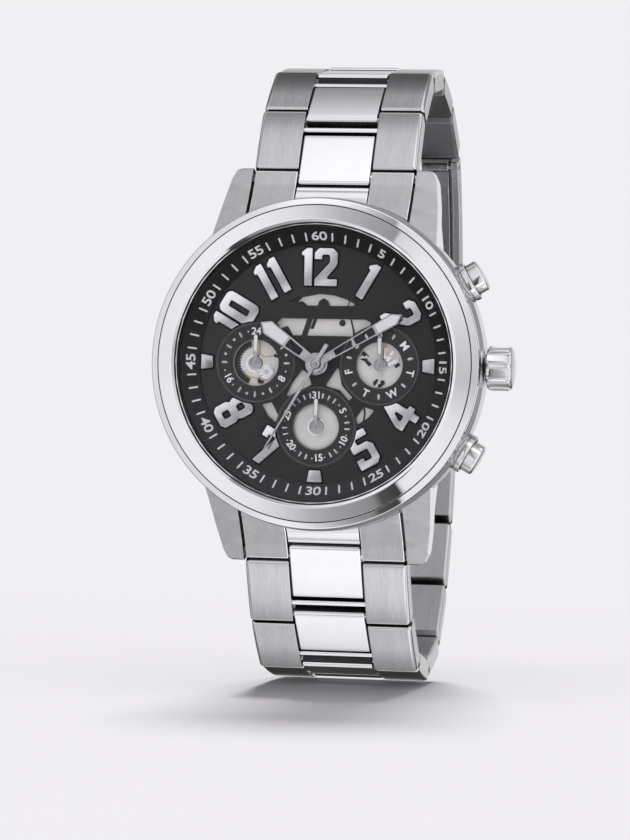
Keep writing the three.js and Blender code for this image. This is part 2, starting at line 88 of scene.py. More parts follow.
class Nodes:
    """The node tree of a material or a world, with short ways to add to it."""

    def __init__(self, owner):
        owner.use_nodes = True
        self.tree = owner.node_tree

    def feed(self, name, inputs):
        """Feeds the inputs of the existing node of that name."""
        self.fill(self.tree.nodes[name], inputs)

    def fill(self, node, inputs):
        """Links each input to a socket, or sets its value."""
        for key, value in inputs.items():
            if isinstance(value, bpy.types.NodeSocket):
                self.tree.links.new(value, node.inputs[key])
            else:
                node.inputs[key].default_value = value

    def add(self, kind, output, inputs=None, **settings):
        """Adds a node and returns one of its outputs."""
        node = self.tree.nodes.new("ShaderNode" + kind)
        for key, value in settings.items():
            setattr(node, key, value)
        self.fill(node, inputs or {})
        return node.outputs[output]

    def place(self):
        return self.add("TexCoord", "Object")

    def axes(self, vector):
        return self.add("SeparateXYZ", 0, {"Vector": vector}).node.outputs

    def math(self, operation, *operands):
        return self.add("Math", 0, dict(enumerate(operands)), operation=operation)

    def noise(self, grain, detail=3, rough=0.6):
        """Noise whose grain is a size in metres, or one size per axis."""
        if isinstance(grain, float):
            grain = [grain] * 3
        scale = [1 / size for size in grain]
        vector = self.add("Mapping", "Vector", {"Vector": self.place(), "Scale": scale})
        return self.add("TexNoise", "Fac", {"Vector": vector, "Scale": 1.0, "Detail": detail,
                                            "Roughness": rough})

    def remap(self, source, after=(0.0, 1.0), before=(0.3, 0.7), **settings):
        return self.add("MapRange", "Result", {
            "Value": source, "From Min": before[0], "From Max": before[1],
            "To Min": after[0], "To Max": after[1]}, **settings)

    def ramp(self, source, stops):
        """A colour ramp through stops of (position, colour)."""
        output = self.add("ValToRGB", "Color", {"Fac": source})
        elements = output.node.color_ramp.elements
        while len(elements) < len(stops):
            elements.new(0.5)
        for element, (position, colour) in zip(elements, stops):
            element.position, element.color = position, (*colour, 1)
        return output

    def tint(self, source, dark, light):
        return self.ramp(source, [(0.3, dark), (0.7, light)])

    def scaled(self, colour, factor):
        return self.add("VectorMath", "Vector", {0: colour, "Scale": factor}, operation="SCALE")

    def mix(self, factor, first, second):
        return self.add("MixRGB", "Color", {"Fac": factor, "Color1": first, "Color2": second})

    def blend(self, factor, first, second):
        """Blends two shaders into the material's output."""
        mixed = self.add("MixShader", 0, {"Fac": factor, 1: first, 2: second})
        self.feed("Material Output", {"Surface": mixed})

    def bump(self, height, strength, distance=0.00002):
        return self.add("Bump", "Normal", {"Strength": strength, "Distance": distance,
                                           "Height": height})

    def finish(self, colour, rough, **inputs):
        """Sets the principled shader; underscores stand for spaces in input names."""
        named = {key.replace("_", " "): value for key, value in inputs.items()}
        self.feed("Principled BSDF", {"Base Color": colour, "Roughness": rough, **named})


def surface(name):
    material = bpy.data.materials.new(name)
    return material, Nodes(material)


# ---------------------------------------------------------------- materials
# light and dark are the ends of the colour, rough the range of roughness, grain the size in
# metres of the mottling


def brushed(name, along=1, light=(0.60, 0.60, 0.61), dark=(0.50, 0.50, 0.512),
            rough=(0.15, 0.21), bump=0.035, fine=0.00011, long=0.006, aniso=0.85):
    """Steel with hairlines along one axis of the piece: fine is their width, long their length."""
    material, nodes = surface(name)
    grain, broad_grain = [fine] * 3, [0.0012] * 3
    grain[along], broad_grain[along] = long, 0.02
    hairlines = nodes.noise(grain)
    broad = nodes.noise(broad_grain, detail=2, rough=0.5)
    # the broad streaks are added at 0.35 and half of that is taken off again
    streaks = nodes.math("MULTIPLY_ADD", broad, 0.35, hairlines)
    streaks = nodes.math("SUBTRACT", streaks, 0.175)
    nodes.finish(nodes.tint(streaks, dark, light), nodes.remap(streaks, rough[::-1]),
                 Metallic=1.0, Anisotropic=aniso, Normal=nodes.bump(hairlines, bump),
                 Tangent=nodes.add("CombineXYZ", 0, {0: 1.0}))
    return material


def smooth_metal(name, light, dark, rough, grain=0.004):
    """Polished or satin metal: faint handling marks in the gloss."""
    material, nodes = surface(name)
    marks = nodes.noise(grain, detail=4)
    nodes.finish(nodes.tint(marks, dark, light), nodes.remap(marks, rough), Metallic=1.0)
    return material


def paint(name, dark, light, rough, grain, specular=0.5):
    material, nodes = surface(name)
    mottle = nodes.noise(grain)
    nodes.finish(nodes.tint(mottle, dark, light), nodes.remap(mottle, rough),
                 Specular_IOR_Level=specular, Normal=nodes.bump(mottle, 0.05))
    return material


def shade_grooves(material, reach, depth):
    """Paints shade into the colour: darkens it to depth in grooves narrower than reach."""
    nodes = Nodes(material)
    base = nodes.tree.nodes["Principled BSDF"].inputs["Base Color"]
    open_sky = nodes.add("AmbientOcclusion", "AO", {"Distance": reach}, samples=6)
    shade = nodes.remap(open_sky, after=(depth, 1.0), before=(0.25, 0.85))
    colour = nodes.scaled(base.links[0].from_socket, shade)
    nodes.feed("Principled BSDF", {"Base Color": colour})


def dial_material():
    """Painted light: runs from charcoal at the dial's upper left, as if lit from there, to near
    black at its lower right.
    """
    material, nodes = surface("dial_black")
    x, _, z = nodes.axes(nodes.place())
    # painted light: a ramp across the dial in x and z
    slope = nodes.math("MULTIPLY_ADD", z, 26.0, nodes.math("MULTIPLY", x, -16.0))
    slope = nodes.math("ADD", slope, 0.5)
    grain = nodes.noise(0.00022, detail=4, rough=0.65)
    slope = nodes.math("MULTIPLY_ADD", grain, 0.16, slope)
    colour = nodes.ramp(slope, [(0.05, (0.0085, 0.0075, 0.0085)), (1.0, (0.033, 0.0315, 0.0335))])
    nodes.finish(colour, nodes.remap(grain, (0.44, 0.56)), Specular_IOR_Level=0.35,
                 Normal=nodes.bump(grain, strength=0.08, distance=0.00001))
    return material


def plate_material():
    """Silvered movement plate: pearl grey with overlapping circular graining."""
    material, nodes = surface("movement_silver")
    cells = nodes.add("TexVoronoi", "Distance", {"Scale": 1 / 0.0016, "Vector": nodes.place()})
    rings = nodes.math("SINE", nodes.math("MULTIPLY", cells, 46.0))
    colour = nodes.tint(nodes.noise(0.003), dark=(0.74, 0.73, 0.705), light=(0.86, 0.85, 0.83))
    nodes.finish(colour, nodes.remap(rings, (0.30, 0.42), before=(-1, 1)), Metallic=0.15,
                 Normal=nodes.bump(rings, strength=0.06, distance=0.00001))
    return material


def figure_material():
    """Applied figures with a painted reflection: each runs from light at its upper left to grey at
    its lower right.
    """
    material, nodes = surface("applied_numeral")
    across = nodes.axes(nodes.add("UVMap", "UV", uv_map="sheen"))["X"]
    marks = nodes.noise(0.0008)
    # painted reflection: light, then dark, then lighter again across each figure
    tones = [(0.18, 0.92), (0.42, 0.70), (0.60, 0.42), (0.72, 0.40), (0.88, 0.66)]
    colour = nodes.ramp(nodes.math("MULTIPLY_ADD", marks, 0.10, across),
                        [(position, (v, v, v * 1.015)) for position, v in tones])
    nodes.finish(colour, nodes.remap(marks, (0.14, 0.2)), Metallic=1.0)
    return material


def ring_material():
    """Painted light: the sloping ring is lighter towards the bottom of the dial, a painted
    reflection of the light above on its upward-facing slope.
    """
    material, nodes = surface("chapter_ring_black")
    z = nodes.axes(nodes.place())["Z"]
    mottle = nodes.noise(0.0004)
    colour = nodes.ramp(nodes.math("MULTIPLY_ADD", z, -28.0, mottle),
                        [(0.3, (0.009, 0.0082, 0.0095)), (0.98, (0.060, 0.057, 0.061))])
    nodes.finish(colour, nodes.remap(mottle, (0.5, 0.6)), Specular_IOR_Level=0.3)
    return material


def glass_material():
    material, nodes = surface("crystal_glass")
    nodes.tree.nodes.remove(nodes.tree.nodes["Principled BSDF"])
    rough = nodes.remap(nodes.noise(0.006, detail=2, rough=0.5), (0.01, 0.03))
    nodes.blend(nodes.add("Fresnel", "Fac", {"IOR": 1.12}),
                nodes.add("BsdfTransparent", 0, {"Color": (0.985, 0.985, 0.99, 1)}),
                nodes.add("BsdfGlossy", 0, {"Roughness": rough}))
    return material


LINK = brushed("brushed_steel_link")
# darker copies of the same link steel: their darkening is painted shade
LINK_HALF_SHADED = brushed("brushed_steel_link_mid", light=(0.52, 0.52, 0.53), dark=(0.43, 0.43, 0.44))
LINK_SHADED = brushed("brushed_steel_link_low", light=(0.40, 0.40, 0.41), dark=(0.32, 0.32, 0.33))
END_LINK = brushed("brushed_steel_end_link", rough=(0.36, 0.44), aniso=0.3)
LUG = brushed("brushed_steel_case", along=2, rough=(0.38, 0.46), aniso=0.3)
FLANK = brushed("brushed_steel_flank", light=(0.70, 0.70, 0.71), dark=(0.58, 0.58, 0.595),
                rough=(0.16, 0.24), bump=0.05)
UNDERSIDE = brushed("brushed_steel_underside", light=(0.66, 0.66, 0.67),
                    dark=(0.54, 0.54, 0.55), rough=(0.26, 0.38), bump=0.04)
# the underside of the upper half, darker: painted shade inside the loop
UPPER_UNDERSIDE_SHADED = brushed("brushed_steel_underside_top_painted_shade", light=(0.34, 0.34, 0.35),
                          dark=(0.25, 0.25, 0.26), rough=(0.30, 0.42), bump=0.04)
WALL = brushed("brushed_steel_wall", light=(0.56, 0.56, 0.57), dark=(0.46, 0.46, 0.47),
               rough=(0.24, 0.34), bump=0.04)
PIN = brushed("pin_steel", rough=(0.2, 0.3), fine=0.0001, long=0.0004)

BLADE = smooth_metal("satin_blade", light=(0.56, 0.56, 0.57), dark=(0.46, 0.46, 0.47),
                     rough=(0.26, 0.36), grain=0.0008)
SHOULDER = smooth_metal("polished_shoulder", light=(0.66, 0.66, 0.67), dark=(0.58, 0.58, 0.59),
                        rough=(0.08, 0.14))
# near-black steel: painted shade on faces that look into narrow gaps between parts
GAP_SHADE_STEEL = smooth_metal("steel_painted_gap_shade", light=(0.055, 0.055, 0.058),
                        dark=(0.035, 0.035, 0.038), rough=(0.35, 0.5))
POLISHED = smooth_metal("polished_steel", light=(0.88, 0.88, 0.895), dark=(0.84, 0.84, 0.86),
                        rough=(0.02, 0.045))
GRIP = smooth_metal("polished_grip", light=(0.78, 0.78, 0.79), dark=(0.70, 0.70, 0.71),
                    rough=(0.05, 0.09))
shade_grooves(GRIP, reach=0.0014, depth=0.18)
SATIN = smooth_metal("satin_steel", light=(0.72, 0.72, 0.73), dark=(0.62, 0.62, 0.64),
                     rough=(0.26, 0.34), grain=0.0008)
SHADOWED = smooth_metal("shadowed_steel", light=(0.045, 0.045, 0.048),
                        dark=(0.03, 0.03, 0.033), rough=(0.4, 0.5))
HAND = smooth_metal("hand_steel", light=(0.52, 0.52, 0.53), dark=(0.34, 0.34, 0.36),
                    rough=(0.12, 0.2), grain=0.003)
APPLIED = smooth_metal("applied_metal", light=(0.80, 0.80, 0.815), dark=(0.66, 0.66, 0.68),
                       rough=(0.14, 0.2), grain=0.0030)
TICK = smooth_metal("applied_tick", light=(0.62, 0.62, 0.63), dark=(0.30, 0.30, 0.31),
                    rough=(0.16, 0.24), grain=0.0016)
BRASS = smooth_metal("brass_wire", light=(0.72, 0.50, 0.24), dark=(0.60, 0.40, 0.18),
                     rough=(0.2, 0.3), grain=0.0006)
CELL = smooth_metal("battery_steel", light=(0.75, 0.75, 0.73), dark=(0.66, 0.66, 0.64),
                    rough=(0.22, 0.32), grain=0.002)

LUME = paint("white_lume", dark=(0.96, 0.96, 0.97), light=(1.0, 1.0, 1.0),
             rough=(0.45, 0.6), grain=0.0002)
PRINT = paint("white_print", dark=(0.95, 0.95, 0.96), light=(1.0, 1.0, 1.0),
              rough=(0.5, 0.6), grain=0.0003)
RUBBER = paint("black_gasket", dark=(0.010, 0.010, 0.011), light=(0.018, 0.018, 0.019),
               rough=(0.6, 0.75), grain=0.0005)
HOLDER = paint("holder_plastic", dark=(0.62, 0.62, 0.60), light=(0.70, 0.70, 0.68),
               rough=(0.45, 0.6), grain=0.002)
BLACK = paint("blackened_part", dark=(0.008, 0.008, 0.009), light=(0.016, 0.016, 0.017),
              rough=(0.3, 0.45), grain=0.0006)
SUBDIAL = paint("subdial_black", dark=(0.012, 0.011, 0.012), light=(0.018, 0.017, 0.019),
                rough=(0.3, 0.42), grain=0.0003)
RIM = paint("subdial_rim", dark=(0.060, 0.058, 0.062), light=(0.085, 0.083, 0.088),
            rough=(0.35, 0.45), grain=0.0003)
OUTLINE = paint("outline_black", dark=(0.0015, 0.0015, 0.0016), light=(0.003, 0.003, 0.003),
                rough=(0.7, 0.8), grain=0.0004, specular=0.05)
RING = ring_material()
DIAL = dial_material()
PLATE = plate_material()
GLASS = glass_material()
FIGURE = figure_material()

# ---------------------------------------------------------------- outlines


def fillet(points, radius, steps=5):
    """A closed outline with rounded corners; radius is one value or one per corner.

    A rounded corner becomes steps + 1 points, a corner of radius 0 stays one point.
    """
    outline = []
    for i, point in enumerate(points):
        wanted = radius[i] if isinstance(radius, (list, tuple)) else radius
        corner = Vector(point)
        back = Vector(points[i - 1]) - corner
        ahead = Vector(points[(i + 1) % len(points)]) - corner
        back_length, ahead_length = back.length, ahead.length
        if wanted <= 0 or back_length < 1e-9 or ahead_length < 1e-9:
            outline.append(tuple(corner))
            continue
        back.normalize()
        ahead.normalize()
        angle = math.acos(max(-1.0, min(1.0, back.dot(ahead))))
        if angle > math.pi - 0.01:
            outline.extend([tuple(corner)] * (steps + 1))
            continue
        reach = min(wanted / math.tan(angle / 2), 0.48 * back_length, 0.48 * ahead_length)
        fitted = reach * math.tan(angle / 2)
        centre = corner + (back + ahead).normalized() * (fitted / math.sin(angle / 2))
        start, end = corner + back * reach - centre, corner + ahead * reach - centre
        turn = math.atan2(start.x * end.y - start.y * end.x, start.dot(end))
        for k in range(steps + 1):
            cos, sin = math.cos(turn * k / steps), math.sin(turn * k / steps)
            outline.append((centre.x + start.x * cos - start.y * sin,
                            centre.y + start.x * sin + start.y * cos))
    return outline


def signed_area(outline):
    return sum(outline[i - 1][0] * p[1] - p[0] * outline[i - 1][1]
               for i, p in enumerate(outline)) / 2


def inset(outline, distance):
    """The outline moved inward, corner by corner."""
    if abs(distance) < 1e-9:
        return list(outline)
    side = 1 if signed_area(outline) > 0 else -1
    moved, n = [], len(outline)
    for i, point in enumerate(outline):
        corner = Vector(point)
        j, k = i - 1, (i + 1) % n
        # step over neighbours that coincide with this point
        while (Vector(outline[j]) - corner).length < 1e-7 and j > i - n:
            j -= 1
        while (Vector(outline[k % n]) - corner).length < 1e-7 and k < i + n:
            k += 1
        arriving = (corner - Vector(outline[j])).normalized()
        leaving = (Vector(outline[k % n]) - corner).normalized()
        first = Vector((-arriving.y, arriving.x)) * side
        second = Vector((-leaving.y, leaving.x)) * side
        inward = first + second
        if inward.length < 1e-6:
            inward = first
        inward.normalize()
        moved.append(tuple(corner + inward * (distance / max(0.35, inward.dot(first)))))
    return moved


def circle(radius, sides=96, cx=0.0, cy=0.0):
    return arc_points(radius, sides, 0.0, 360.0, cx, cy)[:-1]


def arc_points(radius, sides, start, end, cx=0.0, cy=0.0):
    angles = [(start + (end - start) * i / sides) * DEG for i in range(sides + 1)]
    return [(cx + radius * math.sin(a), cy + radius * math.cos(a)) for a in angles]


def gear(radius, teeth, depth, start=0.0, end=360.0):
    """A toothed outline, five points to a tooth."""
    root = radius - depth
    points = []
    for i in range(teeth):
        for part, reach in ((0.0, root), (0.25, root), (0.4, radius), (0.6, radius), (0.75, root)):
            angle = (start + (end - start) * (i + part) / teeth) * DEG
            points.append((reach * math.sin(angle), reach * math.cos(angle)))
    return points


# ---------------------------------------------------------------- meshes


def add_object(name, data):
    added = bpy.data.objects.new(name, data)
    scene.collection.objects.link(added)
    return added


def mesh_object(name, verts, faces, materials, slots):
    """A cleaned mesh; slots holds the material index of each face."""
    mesh = bpy.data.meshes.new(name)
    mesh.from_pydata([tuple(v) for v in verts], [], faces)
    for material in materials:
        mesh.materials.append(material)
    mesh.polygons.foreach_set("material_index", slots)
    bm = bmesh.new()
    bm.from_mesh(mesh)
    bmesh.ops.remove_doubles(bm, verts=bm.verts, dist=1e-5)
    bmesh.ops.dissolve_degenerate(bm, edges=bm.edges, dist=1e-6)
    bmesh.ops.recalc_face_normals(bm, faces=bm.faces)
    bm.to_mesh(mesh)
    bm.free()
    return add_object(name, mesh)


def loft(name, sections, materials=(), pick=None):
    """A skin over equal sections; pick(span, side) gives a face's material, span -1 the caps."""
    n = len(sections[0])
    last = (len(sections) - 1) * n
    faces, slots = [], []
    for i in range(len(sections) - 1):
        for k in range(n):
            after = (k + 1) % n
            faces.append((i * n + k, i * n + after, (i + 1) * n + after, (i + 1) * n + k))
            slots.append(pick(i, k) if pick else 0)
    faces += [tuple(range(n))[::-1], tuple(last + k for k in range(n))]
    slots += [pick(-1, 0) if pick else 0] * 2
    return mesh_object(name, [p for s in sections for p in s], faces, materials, slots)


def along_x(x, a, b):
    return x, a, b


def prism(name, outline, x0, x1, bevel, materials=(), steps=3, pick=None, place=along_x):
    """An outline carried across from x0 to x1 with rounded rims."""
    stations = []
    for k in range(steps + 1):
        turn = k / steps * math.pi / 2
        stations.append((x0 + bevel * (1 - math.cos(turn)), bevel * (1 - math.sin(turn))))
    stations += [(x0 + x1 - x, depth) for x, depth in reversed(stations)]
    sections = [[place(x, a, b) for a, b in inset(outline, depth)] for x, depth in stations]
    return loft(name, sections, materials, pick)


def lathe(name, profile, segs, materials=(), axis="Y"):
    """A profile of (radius, place along the axis) turned about Y or X."""
    n = len(profile)
    verts, faces = [], []
    for i in range(segs):
        cos, sin = math.cos(TAU * i / segs), math.sin(TAU * i / segs)
        for r, h in profile:
            verts.append((r * sin, h, r * cos) if axis == "Y" else (h, r * sin, r * cos))
    for i in range(segs):
        j = (i + 1) % segs
        for k in range(n):
            after = (k + 1) % n
            if profile[k][0] < 1e-9 and profile[after][0] < 1e-9:
                continue
            faces.append((i * n + k, j * n + k, j * n + after, i * n + after))
    return mesh_object(name, verts, faces, materials, [0] * len(faces))


def bake(target):
    """Applies the object's modifiers."""
    bpy.context.view_layer.update()
    depsgraph = bpy.context.evaluated_depsgraph_get()
    mesh = bpy.data.meshes.new_from_object(target.evaluated_get(depsgraph))
    old = target.data
    target.modifiers.clear()
    target.data = mesh
    if old.users == 0:
        bpy.data.meshes.remove(old)


def cut(target, cutter, operation="DIFFERENCE"):
    """Applies a boolean and removes the cutter."""
    modifier = target.modifiers.new("cut", "BOOLEAN")
    modifier.operation, modifier.object, modifier.solver = operation, cutter, "EXACT"
    bake(target)
    bpy.data.objects.remove(cutter)


def soften(target, width, segments, angle):
    modifier = target.modifiers.new("bevel", "BEVEL")
    modifier.width, modifier.segments = width, segments
    modifier.limit_method, modifier.angle_limit = "ANGLE", angle * DEG
    modifier.use_clamp_overlap = True
    bake(target)


def shift(target, matrix):
    target.data.transform(matrix)
    return target


def drill(radius, start, end, segs, axis="Y", seat=Matrix()):
    """A cylinder for cutting, from start to end along its axis."""
    profile = [(0, start), (radius, start), (radius, end), (0, end)]
    return shift(lathe("cut", profile, segs, axis=axis), seat)


def axes_matrix(x_axis, y_axis, z_axis, origin):
    matrix = Matrix((x_axis, y_axis, z_axis)).transposed().to_4x4()
    matrix.translation = origin
    return matrix


# a drawing's x, y and height become x, z and towards the viewer
FACE = Matrix.Rotation(math.pi / 2, 4, "X")


def on_face(x, y, z, angle=0.0):
    """Seat of a drawing on the dial side: centre x, z at height y, turned clockwise."""
    return Matrix.Translation((x, y, z)) @ FACE @ Matrix.Rotation(-angle * DEG, 4, "Z")


def drawing(outlines, thick, material, bevel=0.0, res=2, name="drawing"):
    """A flat plate from closed outlines (inner ones are holes), its back at height 0."""
    curve = bpy.data.curves.new(name, "CURVE")
    curve.dimensions, curve.fill_mode = "2D", "BOTH"
    curve.extrude = max(thick / 2 - bevel, 0)
    curve.bevel_depth, curve.bevel_resolution, curve.offset = bevel, res, -bevel
    for points in outlines:
        spline = curve.splines.new("POLY")
        spline.points.add(len(points) - 1)
        for target, (x, y) in zip(spline.points, points):
            target.co = (x, y, 0, 1)
        spline.use_cyclic_u = True
    return from_curve(name, curve, thick, material)


def from_curve(name, curve, thick, material):
    temporary = add_object(name + "_c", curve)
    bpy.context.view_layer.update()
    depsgraph = bpy.context.evaluated_depsgraph_get()
    mesh = bpy.data.meshes.new_from_object(temporary.evaluated_get(depsgraph))
    bpy.data.objects.remove(temporary)
    mesh.transform(Matrix.Translation((0, 0, thick / 2)))
    mesh.materials.clear()
    mesh.materials.append(material)
    bm = bmesh.new()
    bm.from_mesh(mesh)
    bmesh.ops.remove_doubles(bm, verts=bm.verts, dist=2e-4)
    bm.to_mesh(mesh)
    bm.free()
    return add_object(name, mesh)


def lettering(text, size, thick=0.04, bold=0.03, wide=1.0):
    """Printed text, centred; bold swells the strokes and wide stretches the line."""
    curve = bpy.data.curves.new("lettering", "FONT")
    curve.body, curve.size, curve.align_x, curve.align_y = text, size, "CENTER", "CENTER"
    curve.extrude, curve.resolution_u, curve.offset = thick / 2, 3, bold
    curve.space_character = 0.95
    return shift(from_curve("lettering", curve, thick, PRINT), Matrix.Scale(wide, 4, (1, 0, 0)))


def bar(inner, outer, length, thick, material, bevel=0.0, corner=0.05):
    """A small bar along the drawing's y, given its widths at the inner and outer end."""
    points = [(-inner / 2, -length / 2), (inner / 2, -length / 2),
              (outer / 2, length / 2), (-outer / 2, length / 2)]
    return drawing([fillet(points, corner, 3)], thick, material, bevel, res=1)


def join(name, parts):
    """Several meshes made into one, keeping their materials."""
    materials = []
    bm = bmesh.new()
    for part in parts:
        slots = []
        for material in part.data.materials:
            if material not in materials:
                materials.append(material)
            slots.append(materials.index(material))
        before = len(bm.faces)
        bm.from_mesh(part.data)
        bm.faces.ensure_lookup_table()
        for face in bm.faces[before:]:
            face.material_index = slots[min(face.material_index, len(slots) - 1)]
    mesh = bpy.data.meshes.new(name)
    bm.to_mesh(mesh)
    bm.free()
    for material in materials:
        mesh.materials.append(material)
    for part in parts:
        bpy.data.objects.remove(part)
    return add_object(name, mesh)


def piece(target, body, slot, *replaced, matrix=None, sharp=32):
    """Scales to metres, seats it, shades it smooth up to an angle, and rides it on its body."""
    target.data.transform(Matrix.Scale(MM, 4))
    if matrix is not None:
        seat = matrix.copy()
        seat.translation = seat.translation * MM
        target.matrix_world = seat
    mesh = target.data
    mesh.polygons.foreach_set("use_smooth", [True] * len(mesh.polygons))
    mesh.set_sharp_from_angle(angle=sharp * DEG)
    # flats stay flat beside their rounded rims
    modifier = target.modifiers.new("normals", "WEIGHTED_NORMAL")
    modifier.mode, modifier.weight, modifier.keep_sharp = "FACE_AREA", 90, True
    bake(target)
    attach(target, body)
    if replaced:
        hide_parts(*replaced)


# ---------------------------------------------------------------- case shell

CROWN_SEAT = Matrix.Translation((0, CROWN_Y, 0))


def pusher_seat(side):
    return Matrix.Rotation(-side * PUSHER_ANGLE * DEG, 4, "Y") @ CROWN_SEAT


COLLAR_BORE, COLLAR_FLOOR = 2.27, 21.0  # the pusher's recess, floor measured from the centre
PUSHER_BORE = 1.35

# (radius, y), then the corner radii
case_profile = fillet(
    [(20.3, -0.3), (21.45, -1.7), (22.0, -3.3), (22.0, -7.45), (21.55, -8.45), (18.3, -8.45),
     (18.3, -7.7), (17.1, -7.7), (17.1, -1.6), (18.4, -1.6), (18.4, -0.3)],
    [0.3, 1.2, 1.6, 0.5, 0.25, 0.1, 0.1, 0.1, 0.1, 0.1, 0.1], 6)
shell = lathe("case_shell", case_profile, 256, [FLANK])
cut(shell, drill(1.75, 16, 24, 48, "X", CROWN_SEAT))
for _, side in ENDS:
    cut(shell, drill(PUSHER_BORE, 16, 24, 40, "X", pusher_seat(side)))
    cut(shell, drill(COLLAR_BORE, COLLAR_FLOOR, 26, 96, "X", pusher_seat(side)))
piece(shell, "case", "brushed_steel", "case_body", sharp=28)

# ---------------------------------------------------------------- lugs
# a lug is its side outline met with its front outline; the front runs in one sweep from the
# bezel to the tip

# side outline (y, z)
lug_side = fillet(
    [(1.95, 26.45), (0.05, 23.7), (-2.5, 20.6), (-5.3, 17.7), (-7.9, 15.2), (-8.25, 14.5),
     (-0.4, 14.5), (0.2, 19.0), (2.2, 21.4), (4.25, 24.3), (3.75, 26.0)],
    [0.7, 14.0, 14.0, 14.0, 0.0, 0.0, 0.0, 1.0, 2.0, 0.6, 0.6], 8)
# front outline (x, z)
lug_front = fillet(
    [(11.12, 14.5), (11.12, 26.75), (13.3, 26.15), (13.85, 24.9), (14.5, 21.3), (15.15, 15.9),
     (15.15, 14.5)], [0, 0.25, 0.6, 1.4, 6.0, 0, 0], 6)
LUG_LEAN = 0.09  # the side outline moves back by this much per mm outward


def build_lug(name, sx, sz):
    lug = loft("lug_" + name, [[(sx * x, y + LUG_LEAN * (x - 11.0), sz * z) for y, z in lug_side]
                               for x in (10.0, 20.0)], [LUG])
    front = [[(sx * x, y, sz * z) for x, z in lug_front] for y in (-9.5, 5.5)]
    cut(lug, loft("cut", front, [LUG]), "INTERSECT")
    cut(lug, drill(17.6, -10, 6, 128))
    soften(lug, width=0.26, segments=3, angle=40)
    lug.data.materials.append(POLISHED)
    lug.data.materials.append(GAP_SHADE_STEEL)
    # painted shade, near black, on the faces turned in towards the end link near the tip; polished
    # on the outward-facing sides and on the softened edges
    for face in lug.data.polygons:
        normal = face.normal
        if normal.x * sx < -0.95 and abs(face.center.z) > 18:
            face.material_index = 2
        is_flank = normal.x * sx > 0.55 and normal.y > -0.75
        is_edge = abs(normal.x) > 0.25 and abs(normal.y) > 0.25 and face.area < 0.4
        if is_flank or is_edge:
            face.material_index = 1
    piece(lug, "case", "brushed_steel", "case_body", sharp=30)


for end_name, sz in ENDS:
    for side_name, sx in SIDES:
        build_lug(end_name + "_" + side_name, sx, sz)

# ---------------------------------------------------------------- pusher collars, bezel, crystal

# (radius, distance from the watch's centre)
collar_profile = fillet(
    [(2.68, 20.3), (2.68, 22.02), (2.56, 22.08), (2.56, 22.2), (2.68, 22.26), (2.68, 22.95),
     (COLLAR_BORE, 22.95), (COLLAR_BORE, COLLAR_FLOOR), (PUSHER_BORE, COLLAR_FLOOR),
     (PUSHER_BORE, 20.3)], [0, 0.04, 0.03, 0.03, 0.04, 0.14, 0.06, 0.05, 0.05, 0], 4)
for name, side in ENDS:
    collar = lathe("pusher_collar_" + name, collar_profile, 96, [GRIP], "X")
    piece(collar, "case", "polished_steel", "case_body", matrix=pusher_seat(side))

# (radius, y): outer wall, narrow outer slope, a fine step, the broad polished slope, and a
# double lip round the crystal
bezel_profile = fillet(
    [(18.15, -8.62), (21.7, -8.62), (21.7, -10.80), (21.6, -10.98), (21.50, -11.0248),
     (20.90, -11.2932), (20.84, -11.32), (20.80, -11.24), (20.72, -11.24), (20.68, -11.41),
     (20.62, -11.4305), (19.10, -11.9491), (18.98, -11.99), (18.84, -12.02), (18.76, -11.99),
     (18.70, -11.9722), (18.22, -11.80), (18.16, -11.78), (18.12, -10.36)],
    [0.1, 0.2, 0.1, 0.06, 0, 0, 0.02, 0.02, 0.02, 0.02, 0, 0, 0.05, 0.04, 0.02, 0, 0, 0.03,
     0.05], 4)
bezel = lathe("bezel_ring", bezel_profile, 320, [POLISHED, SHADOWED])
for face in bezel.data.polygons:  # the fine step between the slopes lies in shade
    if 20.71 < math.hypot(face.center.x, face.center.z) < 20.82 and face.center.y < -11:
        face.material_index = 1
piece(bezel, "case", "polished_steel", "bezel", sharp=24)

crystal_profile = fillet([(0, -10.5), (18.08, -10.5), (18.08, -11.86), (17.86, -12.06),
                          (0, -12.1)], [0, 0.1, 0.1, 0.15, 0], 3)
crystal = lathe("crystal_disc", crystal_profile, 192, [GLASS])
piece(crystal, "case", "crystal_glass", "crystal")

# ---------------------------------------------------------------- caseback

DISC_RADIUS = 13.7  # the satin disc inside the polished rim
back_profile = fillet(
    [(0, -1.3), (18.2, -1.3), (18.2, -0.3), (17.7, 0), (15.2, 0), (14.9, -0.18),
     (13.9, -0.18), (DISC_RADIUS, -0.06), (0, -0.06)],
    [0, 0.1, 0.2, 0.25, 0.1, 0.1, 0.1, 0.1, 0], 4)
caseback = lathe("caseback_disc", back_profile, 256, [POLISHED, SATIN])
notch_outline = fillet([(-1.3, 15.7), (1.3, 15.7), (1.3, 17.3), (-1.3, 17.3)], 0.4)
for i in range(6):
    notch = prism("cut", notch_outline, -0.45, 1.0, 0.05, place=lambda y, x, z: (x, y, z))
    cut(caseback, shift(notch, Matrix.Rotation((60 * i + 30) * DEG, 4, "Y")))
for face in caseback.data.polygons:
    centre = face.center
    if math.hypot(centre.x, centre.z) < DISC_RADIUS and centre.y > -0.5:
        face.material_index = 1
piece(caseback, "case", "polished_steel", "caseback")

# ---------------------------------------------------------------- chapter ring, printed minutes

RING_INNER, RING_OUTER = 15.75, 17.95  # radii of the slope's foot and top
RING_FOOT_Y, RING_TOP_Y = -8.5, -10.32
SLOPE = math.atan2(RING_FOOT_Y - RING_TOP_Y, RING_OUTER - RING_INNER)
ring_profile = fillet(
    [(RING_INNER, -8.28), (18.05, -8.28), (18.05, RING_TOP_Y), (RING_OUTER, RING_TOP_Y),
     (RING_INNER, RING_FOOT_Y)], [0, 0, 0, 0.05, 0.05], 3)
piece(lathe("minute_ring", ring_profile, 256, [RING]), "case", "ring_black", "chapter_ring")


